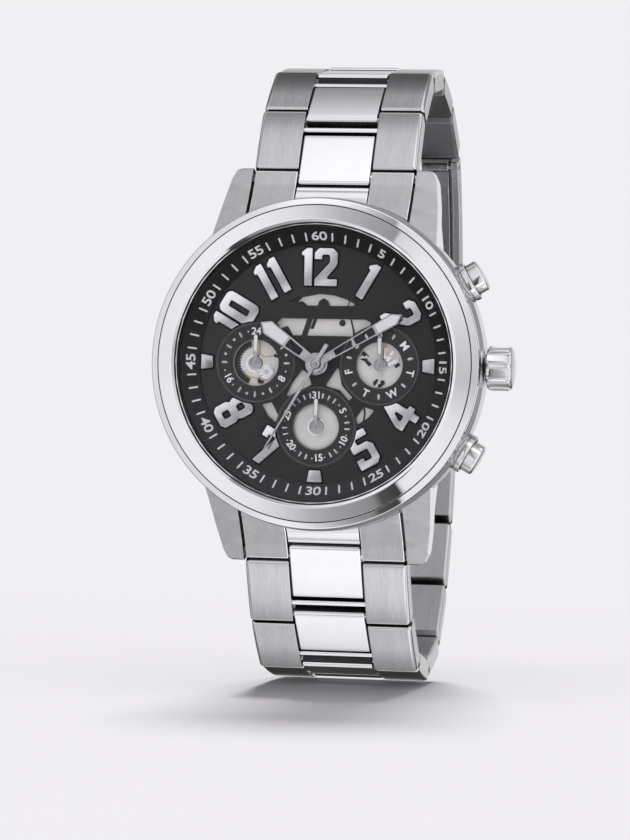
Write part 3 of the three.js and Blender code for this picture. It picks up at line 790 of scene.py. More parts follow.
def on_ring(angle, radius, flip=False):
    """Seat of a drawing just above the slope; flip turns it to read from below the dial."""
    lift = 0.01
    turn = angle * DEG
    outward = Vector((math.sin(turn), 0, math.cos(turn)))
    across = Vector((math.cos(turn), 0, -math.sin(turn)))
    uphill = outward * math.cos(SLOPE) + Vector((0, -math.sin(SLOPE), 0))
    normal = -outward * math.sin(SLOPE) + Vector((0, -math.cos(SLOPE), 0))
    if flip:
        across, uphill = -across, -uphill
    y = RING_FOOT_Y - (radius - RING_INNER) * math.tan(SLOPE)
    return axes_matrix(across, uphill, normal,
                       outward * radius + Vector((0, y, 0)) + normal * lift)


marks = []
for i in range(60):
    if i % 5:
        marks.append(shift(bar(0.235, 0.235, 1.38, 0.05, PRINT, corner=0.1),
                           on_ring(6 * i, 16.72)))
for i in range(1, 13):
    marks.append(shift(lettering(str(5 * i), 1.95, thick=0.05, wide=1.14),
                       on_ring(30 * i, 16.74, flip=4 <= i <= 8)))
piece(join("minute_marks", marks), "case", "ring_black")

# ---------------------------------------------------------------- dial plate with its windows

# (x, z)
WINDOWS = [
    # notched lens above the centre
    [(-4.45, 7.95), (-3.2, 8.55), (-1.6, 9.05), (0.2, 9.22), (2.0, 9.05), (3.6, 8.55),
     (5.3, 7.72), (1.35, 7.66), (1.2, 8.25), (0.6, 8.68), (0.0, 8.25), (-0.15, 7.66),
     (-1.6, 7.66), (-2.2, 8.2)],
    # wide band under the lens
    [(-5.0, 5.95), (6.2, 5.95), (7.0, 5.55), (6.3, 3.72), (-1.2, 3.72), (-4.3, 3.72),
     (-5.6, 5.3)],
    # below the centre on the left, then further down and out
    [(-2.1, -0.75), (-1.2, -1.3), (-0.75, -2.75), (-2.7, -3.75), (-4.25, -4.6), (-3.4, -2.6)],
    [(-7.35, -5.45), (-6.0, -5.15), (-5.05, -6.9), (-5.4, -7.85), (-6.5, -6.9)],
    # below the centre on the right, then further down and out
    [(2.75, -0.2), (1.05, -2.85), (3.0, -3.35), (4.2, -4.75), (4.75, -4.35), (3.3, -2.75)],
    [(5.4, -7.9), (5.25, -7.0), (6.25, -5.5), (7.7, -5.9), (6.9, -6.9)],
]
dial_outlines = [circle(17.9, 256)] + [fillet(window, 0.18, 4) for window in WINDOWS]
dial_outlines += [circle(3.1, 96, x, z) for x, z in SUBDIALS] + [circle(1.4, 64)]
dial = drawing(dial_outlines, 0.42, DIAL, 0.03, res=1, name="dial_face")
piece(dial, "case", "dial_black", "dial_plate", matrix=on_face(0, -7.78, 0), sharp=30)

# sub-dials: a glossy band, a fine raised rim round it and a lip inside it; (radius, y)
SUBDIAL_PRINT_Y = -8.27
band_profile = [(3.12, -8.2), (3.12, SUBDIAL_PRINT_Y), (5.0, SUBDIAL_PRINT_Y), (5.05, -8.2)]
rim_profile = fillet([(5.02, -8.18), (5.02, -8.36), (5.30, -8.36), (5.30, -8.18)], 0.07, 3)
lip_profile = fillet([(3.04, -8.0), (3.04, -8.31), (3.15, -8.31), (3.15, -8.0)], 0.04, 3)
for name, (x, z) in zip(("left", "right", "lower"), SUBDIALS):
    for part, profile, segs, material, slot in (
            ("band", band_profile, 160, SUBDIAL, "dial_black"),
            ("rim", rim_profile, 160, RIM, "dial_black"),
            ("lip", lip_profile, 128, RIM, "hand_polished")):
        turned = lathe("subdial_%s_%s" % (part, name), profile, segs, [material])
        piece(turned, "case", slot, matrix=Matrix.Translation((x, 0, z)))

# ---------------------------------------------------------------- sub-dial marks

marks = []
TEXT_RADIUS, DOT_RADIUS, TICK_RADIUS = 4.12, 4.2, 4.15


def put_mark(centre, angle, radius, mark, turn=None):
    """Places a mark on a sub-dial; it turns with its angle unless turn is given."""
    x, z = centre
    seat = on_face(x + radius * math.sin(angle * DEG), SUBDIAL_PRINT_Y,
                   z + radius * math.cos(angle * DEG), angle if turn is None else turn)
    marks.append(shift(mark, seat))


def put_dot(centre, angle, radius, sides):
    put_mark(centre, angle, DOT_RADIUS, drawing([circle(radius, sides)], 0.05, TICK))


def upright(angle):
    return angle - 180 if 90 < angle % 360 < 270 else angle


for hour in range(24):
    angle = 15 * hour
    if hour % 8 == 0:
        put_mark(LEFT, angle, TEXT_RADIUS, lettering(str(hour or 24), 1.36), upright(angle))
    elif hour in (1, 23, 7, 9, 15, 17):
        put_dot(LEFT, angle, 0.12, 16)
    elif hour % 2:
        put_dot(LEFT, angle, 0.19, 16)
    else:
        put_mark(LEFT, angle, TICK_RADIUS, bar(0.3, 0.3, 0.8, 0.06, TICK, 0.02, corner=0.12))

day_dot = [(0.19 * math.sin(TAU * j / 20), 0.4 * math.cos(TAU * j / 20)) for j in range(20)]
for i, letter in enumerate("SMTWTFS"):
    angle = i * 360 / 7
    put_mark(RIGHT, angle, TEXT_RADIUS, lettering(letter, 1.4, bold=0.035),
             upright(angle) if i in (3, 4) else angle)
    put_mark(RIGHT, angle + 180 / 7, TICK_RADIUS, drawing([day_dot], 0.06, TICK, 0.02))

for day in range(1, 32):
    angle = (day % 31) * 360 / 31
    if day in (5, 10, 15, 20, 25, 31):
        put_mark(LOWER, angle, TEXT_RADIUS, lettering(str(day), 1.3), upright(angle))
    elif day in (4, 6, 9, 11, 14, 16, 19, 21, 24, 26):  # small dots beside the numbers
        put_dot(LOWER, angle, 0.11, 14)
    else:
        put_mark(LOWER, angle, TICK_RADIUS, bar(0.22, 0.3, 0.72, 0.06, TICK, 0.02, corner=0.08))
piece(join("subdial_marks", marks), "case", "dial_black")

# ---------------------------------------------------------------- applied hour figures

FIGURE_HEIGHT = 5.1
FIGURE_RADIUS, BATON_RADIUS = 12.75, 14.75
FIGURE_BACK_Y = -8.14
# each digit: width, then its outline and the outlines of its holes
GLYPHS = {
    "1": (1.5, [[(0.35, 0), (1.5, 0), (1.5, 5.1), (0.72, 5.1), (0, 4.5), (0, 3.9),
                 (0.35, 4.05)]]),
    "2": (3.15, [[(0, 0), (3.1, 0), (3.1, 1.0), (1.6, 1.0), (2.95, 2.6), (3.15, 3.1),
                  (3.15, 4.45), (2.5, 5.1), (0.65, 5.1), (0, 4.45), (0, 3.5), (1.1, 3.5),
                  (1.1, 4.1), (2.02, 4.1), (2.02, 3.2), (0, 0.95)]]),
    "0": (3.15, [[(0, 0), (3.15, 0), (3.15, 5.1), (0, 5.1)],
                 [(1.2, 1.15), (1.95, 1.15), (1.95, 3.95), (1.2, 3.95)]]),
    "4": (3.5, [[(1.8, 0), (2.9, 0), (2.9, 1.0), (3.5, 1.0), (3.5, 2.0), (2.9, 2.0),
                 (2.9, 5.1), (1.65, 5.1), (0, 2.15), (0, 1.0), (1.8, 1.0)],
                [(1.8, 2.0), (1.8, 3.55), (0.98, 2.0)]]),
    "5": (3.15, [[(0, 0), (2.5, 0), (3.15, 0.65), (3.15, 2.7), (2.5, 3.35), (1.15, 3.35),
                  (1.15, 4.05), (2.95, 4.05), (2.95, 5.1), (0.05, 5.1), (0.05, 2.35),
                  (2.05, 2.35), (2.05, 1.05), (1.1, 1.05), (1.1, 1.6), (0, 1.6)]]),
    "7": (3.1, [[(0.55, 0), (1.75, 0), (3.1, 4.0), (3.1, 5.1), (0, 5.1), (0, 3.5),
                 (0.95, 3.5), (0.95, 4.05), (1.9, 4.05)]]),
    "8": (3.15, [[(0.55, 0), (2.6, 0), (3.15, 0.55), (3.15, 2.15), (2.85, 2.6), (3.1, 3.05),
                  (3.1, 4.55), (2.55, 5.1), (0.6, 5.1), (0.05, 4.55), (0.05, 3.05),
                  (0.3, 2.6), (0, 2.15), (0, 0.55)],
                 [(1.15, 1.0), (2.0, 1.0), (2.0, 1.95), (1.15, 1.95)],
                 [(1.2, 3.15), (1.95, 3.15), (1.95, 4.1), (1.2, 4.1)]]),
}
# (hour, clockwise turn of the figure)
HOURS = ((12, 0), (1, 30), (2, 60), (4, -60), (5, -30), (7, 30), (8, 60), (10, -60), (11, -30))


def sheen(figure, cx, cz, reach=3.1):
    """A coordinate running from 0 at the upper left of a figure to 1 at its lower right, along
    which its painted reflection runs.
    """
    mesh = figure.data
    layer = mesh.uv_layers.new(name="sheen")
    for loop in mesh.loops:
        v = mesh.vertices[loop.vertex_index].co
        across = 0.5 + ((v.x - cx) * 0.55 - (v.z - cz) * 0.8) / (2 * reach)
        layer.data[loop.index].uv = (across, 0.5)
    return figure


def build_digit(digit, start, cx, cz, turn):
    """A bevelled digit and the thin dark outline under it, both trimmed round the sub-dials."""
    outlines = [fillet([(x + start, y - FIGURE_HEIGHT / 2) for x, y in loop],
                       0.85 if (digit == "0" and j == 0) else 0.16, 4)
                for j, loop in enumerate(GLYPHS[digit][1])]
    dark = [inset(outline, -0.13 if j == 0 else 0.13) for j, outline in enumerate(outlines)]
    made = []
    for shape, thick, bevel, material, trim in ((outlines, 0.42, 0.15, FIGURE, 5.46),
                                                (dark, 0.10, 0.0, OUTLINE, 5.34)):
        part = shift(drawing(shape, thick, material, bevel, res=3),
                     on_face(cx, FIGURE_BACK_Y, cz, turn))
        for x, z in SUBDIALS:
            if math.hypot(cx - x, cz - z) < 9:
                cut(part, drill(trim, -9.5, -7.5, 128, seat=Matrix.Translation((x, 0, z))))
        made.append(sheen(part, cx, cz))
    return made


figures = []
for hour, turn in HOURS:
    text = str(hour)
    gap = 0.5 if hour == 11 else 0.22
    start = -(sum(GLYPHS[digit][0] for digit in text) + gap * (len(text) - 1)) / 2
    angle = hour * 30 * DEG
    for digit in text:
        figures += build_digit(digit, start, FIGURE_RADIUS * math.sin(angle),
                               FIGURE_RADIUS * math.cos(angle), turn)
        start += GLYPHS[digit][0] + gap
for angle in (90, 180, 270):
    x, z = BATON_RADIUS * math.sin(angle * DEG), BATON_RADIUS * math.cos(angle * DEG)
    for baton in (bar(1.55, 2.15, 1.65, 0.42, FIGURE, 0.15, corner=0.12),
                  bar(1.80, 2.42, 1.9, 0.10, OUTLINE, corner=0.15)):
        shift(baton, on_face(x, FIGURE_BACK_Y, z, angle))
        figures.append(sheen(baton, x, z, reach=4.5))
piece(join("hour_numerals", figures), "case", "hand_polished", sharp=38)

# ---------------------------------------------------------------- works seen through the openings

PLATE_Y = -7.58  # front of the silvered plate they lie on
CENTRE = (0.0, 0.0)
works = []


def lay(centre, outlines, thick, material, up=0.0, angle=0.0, bevel=0.02):
    """Lays a flat part on the plate, raised by up."""
    x, z = centre
    part = drawing(outlines, thick, material, bevel)
    works.append(shift(part, on_face(x, PLATE_Y - up, z, angle)))


def lay_shape(centre, points, corner, thick, material, up=0.0, angle=0.0, steps=3, bevel=0.02):
    lay(centre, [fillet(points, corner, steps)], thick, material, up, angle, bevel)


# left sub-dial: toothed arc, wheels, two wires and two black parts
lay(LEFT, [arc_points(2.95, 30, 200, 345) + gear(2.35, 15, 0.22, 200, 345)[::-1]], 0.16, BLACK)
wheel_seat = (LEFT[0] - 0.15, LEFT[1] - 0.1)
lay(wheel_seat, [gear(1.95, 30, 0.16), circle(0.5, 32)], 0.12, PLATE, up=0.1)
lay(wheel_seat, [circle(1.25, 48), circle(0.9, 48)], 0.08, APPLIED, up=0.2)
lay((LEFT[0] + 1.35, LEFT[1] - 1.15), [gear(1.1, 14, 0.14), circle(0.3, 24)], 0.12, APPLIED,
    up=0.12)
for wire in ([(0.55, 2.7), (0.5, 1.2), (1.1, 0.9), (2.2, 1.0), (2.2, 0.86), (1.05, 0.76),
              (0.36, 1.1), (0.41, 2.7)],
             [(-1.75, -1.1), (-1.1, -1.85), (0.2, -2.1), (0.9, -1.6), (0.82, -1.5),
              (0.2, -1.97), (-1.03, -1.74), (-1.66, -1.03)]):
    lay_shape(LEFT, wire, 0.12, 0.1, BRASS, up=0.24, steps=4)
lay_shape(LEFT, [(0.3, -2.7), (0.2, -2.2), (0.5, -2.05), (0.75, -2.35), (1.1, -2.2),
                 (1.0, -2.75)], 0.1, 0.1, BLACK, up=0.22)
lay_shape(LEFT, [(2.3, 1.25), (2.9, 1.0), (2.85, 0.7), (2.3, 0.85)], 0.1, 0.1, BLACK, up=0.16)

# right sub-dial: black parts, a wheel, three leaves and a wire
lay_shape(RIGHT, [(-2.3, 1.9), (-1.5, 1.2), (-1.75, 0.7), (-1.1, 0.1), (-1.5, -0.2),
                  (-2.1, 0.5), (-2.8, 0.8)], 0.14, 0.12, BLACK, up=0.02)
lay((RIGHT[0] - 2.1, RIGHT[1] - 1.2), [gear(2.5, 26, 0.17), circle(2.1, 64)], 0.1, PLATE,
    up=0.14)
for angle in (0, 28, 58):
    lay_shape(RIGHT, [(0.25, 0.55), (0.9, 0.9), (1.0, 2.3), (0.55, 2.75), (0.3, 2.0)],
              0.25, 0.12, APPLIED, up=0.08, angle=angle, steps=5, bevel=0.04)
lay_shape(RIGHT, [(1.6, 0.3), (2.2, 0.75), (2.7, 0.1), (2.1, -0.35)], 0.1, 0.08, BLACK, up=0.04)
lay_shape(RIGHT, [(-0.9, -2.2), (-0.35, -1.75), (0.05, -2.15), (0.55, -1.9), (0.7, -2.4),
                  (0.0, -2.95), (-0.7, -2.8)], 0.14, 0.12, BLACK, up=0.1)
lay_shape(RIGHT, [(0.62, 2.9), (0.66, 1.4), (1.7, 1.1), (1.72, 1.24), (0.8, 1.5),
                  (0.76, 2.9)], 0.1, 0.1, BRASS, up=0.24)

# lower sub-dial: a disc and a ring
lay(LOWER, [circle(2.95, 96)], 0.12, PLATE, bevel=0.03)
lay(LOWER, [circle(1.25, 64), circle(0.95, 64)], 0.1, APPLIED, up=0.1, bevel=0.03)

# parts in the wide band
lay_shape(CENTRE, [(-1.45, 6.4), (-0.75, 6.4), (-1.7, 3.2), (-2.5, 3.2)], 0.1, 0.16, BLACK)
lay_shape(CENTRE, [(-0.55, 6.4), (-0.1, 6.4), (-0.75, 4.6), (-1.2, 4.6)], 0.1, 0.16, BLACK)
lay(CENTRE, [circle(0.42, 32, 3.1, 5.45)], 0.2, BLACK, bevel=0.05)
lay_shape(CENTRE, [(4.05, 6.3), (4.25, 6.3), (4.75, 4.4), (4.85, 3.4), (4.6, 3.4),
                   (4.5, 4.4)], 0.08, 0.12, BLACK)
lay_shape(CENTRE, [(-5.6, 4.4), (-4.2, 5.0), (-3.3, 3.5), (-4.2, 3.2)], 0.3, 0.14, BLACK)
# parts in the lens, the last a slotted disc
lay_shape(CENTRE, [(4.0, 8.8), (4.15, 8.8), (3.8, 7.5), (3.65, 7.5)], 0.03, 0.06, SHADOWED,
          bevel=0.01)
for points in ([(-4.3, 8.1), (-2.6, 9.0), (-2.2, 8.85), (-3.5, 7.5)],
               [(-3.0, 9.1), (-0.4, 9.5), (-0.5, 9.1), (-2.7, 8.7)]):
    lay_shape(CENTRE, points, 0.08, 0.14, BLACK)
lay(CENTRE, [circle(0.5, 32, 0.6, 8.05), [(0.35, 8.0), (0.85, 8.0), (0.85, 8.1), (0.35, 8.1)]],
    0.36, BLACK, bevel=0.04)
# strip in the lower right window
lay_shape(CENTRE, [(6.0, -7.9), (6.25, -7.9), (6.5, -6.4), (6.3, -5.3), (6.1, -5.3),
                   (6.25, -6.5)], 0.06, 0.12, BLACK)
piece(join("movement_details", works), "case", "movement_silver")

# ---------------------------------------------------------------- hands


def build_hand(name, outline, y_back, thick, angle, hubs, holes=(), lume=(), centre=CENTRE):
    """A steel frame with a bevelled rim, white fillings and turned hubs.

    Hub profiles are (radius, y from the back of the hand), reaching down to the movement.
    """
    parts = [drawing([outline, *holes], thick, HAND, thick * 0.42)]
    for filling in lume:
        part = drawing([filling], thick * 0.8, LUME, 0.03, res=1)
        parts.append(shift(part, Matrix.Translation((0, 0, thick * 0.42))))
    for profile in hubs:
        hub = lathe("hub", profile, 64, [HAND])
        parts.append(shift(hub, Matrix.Rotation(-math.pi / 2, 4, "X")))
    piece(join(name + "_detail", parts), name, "hand_polished", name,
          matrix=on_face(centre[0], y_back, centre[1], angle), sharp=34)


TIP_RADII = [0, 0.08, 0.05, 0.08, 0]
build_hand(
    "hour_hand",
    fillet([(-0.62, 0.6), (-1.02, 8.1), (0, 9.3), (1.02, 8.1), (0.62, 0.6)], TIP_RADII, 3),
    y_back=-9.1, thick=0.15, angle=HOUR_ANGLE,
    holes=[fillet([(-0.44, 2.5), (0.44, 2.5), (0.58, 4.75), (-0.58, 4.75)], 0.1, 3)],
    lume=[fillet([(-0.66, 5.1), (0.66, 5.1), (0.80, 8.0), (0, 8.95), (-0.80, 8.0)], 0.08, 3)],
    hubs=[fillet([(0.9, 1.9), (1.15, 1.9), (1.15, 0.0), (1.5, 0.0), (1.5, -0.15),
                  (1.35, -0.2), (0.9, -0.2)], 0.04, 3)])
build_hand(
    "minute_hand",
    fillet([(-0.5, 0.5), (-0.82, 11.9), (0, 13.2), (0.82, 11.9), (0.5, 0.5)], TIP_RADII, 3),
    y_back=-9.55, thick=0.15, angle=MINUTE_ANGLE,
    holes=[fillet([(-0.36, 2.9), (0.36, 2.9), (0.42, 5.55), (-0.42, 5.55)], 0.08, 3),
           fillet([(-0.43, 5.95), (0.43, 5.95), (0.5, 8.85), (-0.5, 8.85)], 0.08, 3)],
    lume=[fillet([(-0.54, 9.25), (0.54, 9.25), (0.62, 11.85), (0, 12.85), (-0.62, 11.85)],
                 0.08, 3)],
    hubs=[fillet([(0.45, 2.35), (0.72, 2.35), (0.72, 0.0), (1.2, 0.0), (1.2, -0.15),
                  (1.08, -0.2), (0.45, -0.2)], 0.04, 3)])
HUB_RADII = [0, 0, 0, 0, 0.05, 0.05, 0.03, 0.03, 0]
build_hand(
    "second_hand",
    fillet([(-0.29, -3.0), (-0.29, -0.4), (-0.25, 0.9), (-0.115, 13.1), (0.115, 13.1),
            (0.25, 0.9), (0.29, -0.4), (0.29, -3.0)],
           [0.05, 0.3, 0.3, 0.02, 0.02, 0.3, 0.3, 0.05], 3),
    y_back=-10.0, thick=0.16, angle=SECOND_ANGLE,
    hubs=[fillet([(0, 2.8), (0.28, 2.8), (0.28, 0.0), (0.62, 0.0), (0.62, -0.2),
                  (0.5, -0.26), (0.24, -0.26), (0.2, -0.33), (0, -0.36)], HUB_RADII, 3)])
for name, centre in zip(("hour24_hand", "day_hand", "date_hand"), SUBDIALS):
    build_hand(
        name,
        fillet([(-0.26, -0.3), (-0.31, 3.55), (0, 3.8), (0.31, 3.55), (0.26, -0.3)],
               [0, 0.06, 0.04, 0.06, 0], 3),
        y_back=-8.6, thick=0.14, angle=0, centre=centre,
        lume=[fillet([(-0.2, 1.5), (0.2, 1.5), (0.22, 3.5), (0, 3.66), (-0.22, 3.5)], 0.05, 3)],
        hubs=[fillet([(0, 1.4), (0.3, 1.4), (0.3, 0.0), (0.6, 0.0), (0.6, -0.14),
                      (0.46, -0.2), (0.26, -0.2), (0.22, -0.3), (0, -0.33)], HUB_RADII, 3),
              fillet([(0.62, 0.0), (0.78, 0.0), (0.78, -0.1), (0.62, -0.1)], 0.03, 3)])

# ---------------------------------------------------------------- crown and pushers

FLUTES, CROWN_SEGS = 8, 320
CROWN_FOOT, CROWN_SQUEEZE = 22.18, 0.9  # where the crown starts, and how its length is scaled
# (x before scaling, radius, flute depth)
CROWN_STATIONS = [
    (22.85, 2.45, 0.0), (22.88, 2.62, 0.0), (22.98, 2.78, 0.10), (23.15, 2.90, 0.26),
    (23.35, 2.95, 0.36), (24.0, 2.95, 0.40), (25.0, 2.95, 0.40), (25.7, 2.95, 0.38),
    (25.95, 2.94, 0.34), (26.15, 2.88, 0.22), (26.3, 2.78, 0.10), (26.42, 2.64, 0.02),
    (26.55, 2.42, 0.0), (26.68, 2.0, 0.0), (26.80, 1.4, 0.0), (26.87, 0.7, 0.0),
    (26.89, 0.05, 0.0)]


def crown_loop(x, radius, depth):
    loop = []
    for i in range(CROWN_SEGS):
        turn = TAU * i / CROWN_SEGS
        # 0 in the middle of a flute, 1 on its ridge
        phase = abs(((i * FLUTES / CROWN_SEGS) % 1.0) - 0.5) * 2
        scoop = 1 - min(1.0, max(0.0, (phase - 0.62) / 0.22)) ** 2
        scoop = max(0.0, scoop) * (0.82 + 0.18 * (1 - phase))
        r = radius - depth * scoop
        loop.append((CROWN_FOOT + (x - CROWN_STATIONS[0][0]) * CROWN_SQUEEZE,
                     r * math.sin(turn + 0.1), r * math.cos(turn + 0.1)))
    return loop


crown = loft("crown_fluted", [crown_loop(*station) for station in CROWN_STATIONS], [GRIP])
cut(crown, drill(0.75, 21, 23.5, 32, "X"))
piece(crown, "crown", "polished_steel", "crown", matrix=CROWN_SEAT, sharp=36)

# (radius, distance from the watch's centre)
pusher_profile = fillet([(0, 18.3), (1.15, 18.3), (1.15, 22.1), (2.1, 22.1), (2.1, 24.32),
                         (1.82, 24.57), (0, 24.65)], [0, 0.1, 0.05, 0.1, 0.2, 1.1, 0], 5)
for end_name, side in ENDS:
    name = "pusher_" + end_name
    head = lathe(name + "_head", pusher_profile, 128, [GRIP], "X")
    piece(head, name, "polished_steel", name, matrix=pusher_seat(side))

# ---------------------------------------------------------------- bracelet
# a heading is the angle of a link from straight up (upper half, end 1) or straight down (lower
# half, end -1) towards +Y. Side outlines are (along the link, towards its outer face).


def tangent(heading, end):
    return math.sin(heading * DEG), end * math.cos(heading * DEG)


def normal_to(heading, end):
    return -math.cos(heading * DEG), end * math.sin(heading * DEG)


def link_seat(pin, heading, end):
    return axes_matrix((end, 0, 0), (0, *tangent(heading, end)), (0, *normal_to(heading, end)),
                       (0, *pin))


def crowned(start, end, height, rise):
    """Seven points over an arched top."""
    return [(start + (end - start) * (k / 8), height + rise * 4 * (k / 8) * (1 - k / 8))
            for k in range(1, 8)]


def outer_section(sink, pull, raised):
    """Side outline of an outer column: crowned top, rounded ends, relieved underside near the pin.

    The top is sunk, the ends are pulled in and the bottom is raised towards the rims.
    """
    start, end = 1.25 + pull, PITCH + 0.85 - pull
    top, bottom = HALF_THICK - sink - 0.16, raised - HALF_THICK
    points = [(start, top), *crowned(start, end, top, 0.22), (end, top), (end, bottom),
              (2.2, bottom), (start, -0.1)]
    return fillet(points, [0.38] + [0] * 7 + [0.38, 0.3, 0.3, 0.25], 5)


# stations across an outer column: (x, sink, pull, raised)
COLUMN_STATIONS = [
    (5.02, 0.14, 0.14, 0.14), (5.06, 0.05, 0.05, 0.05), (5.16, 0, 0, 0), (10.45, 0, 0, 0),
    (10.62, 0.03, 0.02, 0.0), (10.78, 0.11, 0.08, 0.03), (10.9, 0.22, 0.16, 0.12),
    (10.97, 0.36, 0.26, 0.22), (11.0, 0.50, 0.36, 0.34)]


def outer_column(side):
    def pick(span, k):
        if span < 0:
            return 0
        # painted shade: the end faces down in the gaps are near black
        if 18 <= k < 24 or k >= 35:
            return 2  # the end faces, down in the gaps
        if 24 <= k:
            return 3  # the underside
        return 1 if (3 <= span <= 7 or k < 5 or 13 <= k) else 0  # rounded rims of the top

    sections = [[(side * x, a, b) for a, b in outer_section(*shape)]
                for x, *shape in COLUMN_STATIONS]
    return loft("column", sections, [LINK, SHOULDER, GAP_SHADE_STEEL, UNDERSIDE], pick)


def centre_plate():
    start, end, top, low = -1.27, 6.88, 1.36, -1.4
    points = [(start, top), *crowned(start, end, top, 0.055), (end, top), (end, low),
              (-0.55, low), (start, -0.6)]
    outline = fillet(points, [0.75] + [0] * 7 + [0.45, 0.3, 0.4, 0.4], 6)
    # the plate's end faces carry the near-black steel of painted gap shade
    return prism("centre", outline, -4.82, 4.82, 0.16, [POLISHED, GAP_SHADE_STEEL, UNDERSIDE],
                 pick=lambda i, k: 0 if i < 0 or k < 20 else (2 if 27 <= k < 34 else 1))


def small_bar(start, end, low, top, half, corner, material):
    """A plain bar across the link, its upper edges rounded by corner."""
    points = [(start, top), (end, top), (end, low), (start, low)]
    return prism("bar", fillet(points, [corner, corner, 0.1, 0.1], 5), -half, half, 0.05,
                 [material], steps=2)


# patterns copied for every link
outer_mesh = join("link_outer", [outer_column(1), outer_column(-1)])
centre_mesh = join("link_centre",
                   [centre_plate(), small_bar(7.52, 8.3, -1.1, 1.12, 5.04, 0.28, POLISHED)])
core_mesh = join("link_core", [small_bar(2.5, 6.6, -1.35, 0.9, 5.08, 0.1, SHADOWED),
                               small_bar(6.5, 8.5, -1.3, -1.0, 5.08, 0.05, SHADOWED)])


def copy_of(pattern, name):
    return add_object(name, pattern.data.copy())


def chain(end_name, headings, end):
    """Builds one half of the bracelet and returns the (y, z) of its last pin."""
    pin = [HINGE_Y, end * HINGE_Z]
    # painted shade: the upper half, and each half beyond its first link, take darker copies of the
    # same steel
    first, others = (LINK_HALF_SHADED, LINK_SHADED) if end > 0 else (LINK, LINK_HALF_SHADED)
    for i, heading in enumerate(headings):
        node = "%s_link_%d" % (end_name, i + 1)
        seat = link_seat(pin, heading, end)
        outer = copy_of(outer_mesh, node + "_outer")
        centre = copy_of(centre_mesh, node + "_centre")
        outer.data.materials[0] = first if i == 0 else others
        # painted shade: the upper half's undersides, inside the loop, take the darker copy
        if end > 0:
            outer.data.materials[3] = UPPER_UNDERSIDE_SHADED
            centre.data.materials[2] = UPPER_UNDERSIDE_SHADED
        piece(outer, node, "brushed_steel", node, matrix=seat, sharp=30)
        piece(centre, node, "polished_steel", node, matrix=seat, sharp=30)
        piece(copy_of(core_mesh, node + "_core"), node, "brushed_steel", node, matrix=seat)
        step = tangent(heading, end)
        pin = [pin[0] + PITCH * step[0], pin[1] + PITCH * step[1]]
    return pin


clasp_top = chain("upper", UPPER_HEADINGS, 1)
clasp_bottom = chain("lower", LOWER_HEADINGS, -1)
for pattern in (outer_mesh, centre_mesh, core_mesh):
    bpy.data.objects.remove(pattern)

# ---------------------------------------------------------------- end links
# shoulders with a polished middle, their side caps painted near black as shade, trimmed to the
# round of the case

# front then back of the end link where it meets the case, (y, z)
END_FRONT = [(-0.9, 22.4), (-2.5, 20.6), (-4.4, 18.7), (-5.0, 18.0)]
END_BACK = [(0.4, 18.0), (0.6, 20.0), (2.4, 21.6)]


def build_end_link(end_name, end):
    name = "end_link_" + end_name
    seat = link_seat((HINGE_Y, end * HINGE_Z), END_HEADING, end)
    inverse = seat.inverted()
    against_case = [tuple(inverse @ Vector((0, y, end * z)))[1:] for y, z in END_FRONT + END_BACK]

    def finish(part, slot):
        cut(part, drill(22.1, -14, 8, 192, seat=inverse))
        piece(part, "case", slot, name, matrix=seat, sharp=30)

    shoulder = fillet([(0.85, HALF_THICK - 0.10), (-1.6, HALF_THICK + 0.02), *against_case,
                       (0.85, -HALF_THICK)],
                      [0.38, 9.0, 12.0, 12.0, 0.1, 0.1, 0.1, 0.3, 0.3, 0.3], 6)
    for tag, x0, x1 in (("right", 5.02, 10.76), ("left", -10.76, -5.02)):
        # side caps near black as painted shade, rims and the hinge corner polished, the rest
        # brushed
        part = prism(name + "_" + tag, shoulder, x0, x1, 0.14, [END_LINK, POLISHED, GAP_SHADE_STEEL],
                     pick=lambda i, k: 2 if i < 0 else (1 if (i != 3 or k < 6) else 0))
        finish(part, "brushed_steel")
    middle = fillet([(-1.82, HALF_THICK - 0.02), (-2.6, HALF_THICK), *against_case,
                     (-1.82, -HALF_THICK)],
                    [0.3, 4.0, 4.0, 3.0, 0.1, 0.1, 0.1, 0.3, 0.3, 0.3], 6)
    finish(prism(name + "_centre", middle, -4.9, 4.9, 0.12, [POLISHED]), "polished_steel")


for end_name, end in ENDS:
    build_end_link(end_name, end)

# ---------------------------------------------------------------- clasp
# the clasp follows a circle through the last pins of both halves; its parts are given across
# (x), along the arc from the upper pin, and out from the arc

rise_y, rise_z = clasp_bottom[0] - clasp_top[0], clasp_bottom[1] - clasp_top[1]
half_turn = math.atan2(rise_y, rise_z) / DEG - CLASP_HEADING
CLASP_RADIUS = math.hypot(rise_y, rise_z) / 2 / math.sin(half_turn * DEG)
LENGTH = 2 * half_turn * DEG * CLASP_RADIUS


def on_arc(along, out):
    """The (y, z) of a place along the arc and out from it."""
    heading = CLASP_HEADING + along / CLASP_RADIUS / DEG
    first, here = normal_to(CLASP_HEADING, 1), normal_to(heading, 1)
    return (clasp_top[0] + CLASP_RADIUS * (here[0] - first[0]) + out * here[0],
            clasp_top[1] + CLASP_RADIUS * (here[1] - first[1]) + out * here[1])


TOP_HINGE, FOLD_HINGE, BUTTON = on_arc(2.9, -0.45), on_arc(LENGTH - 8.0, -0.95), LENGTH / 2


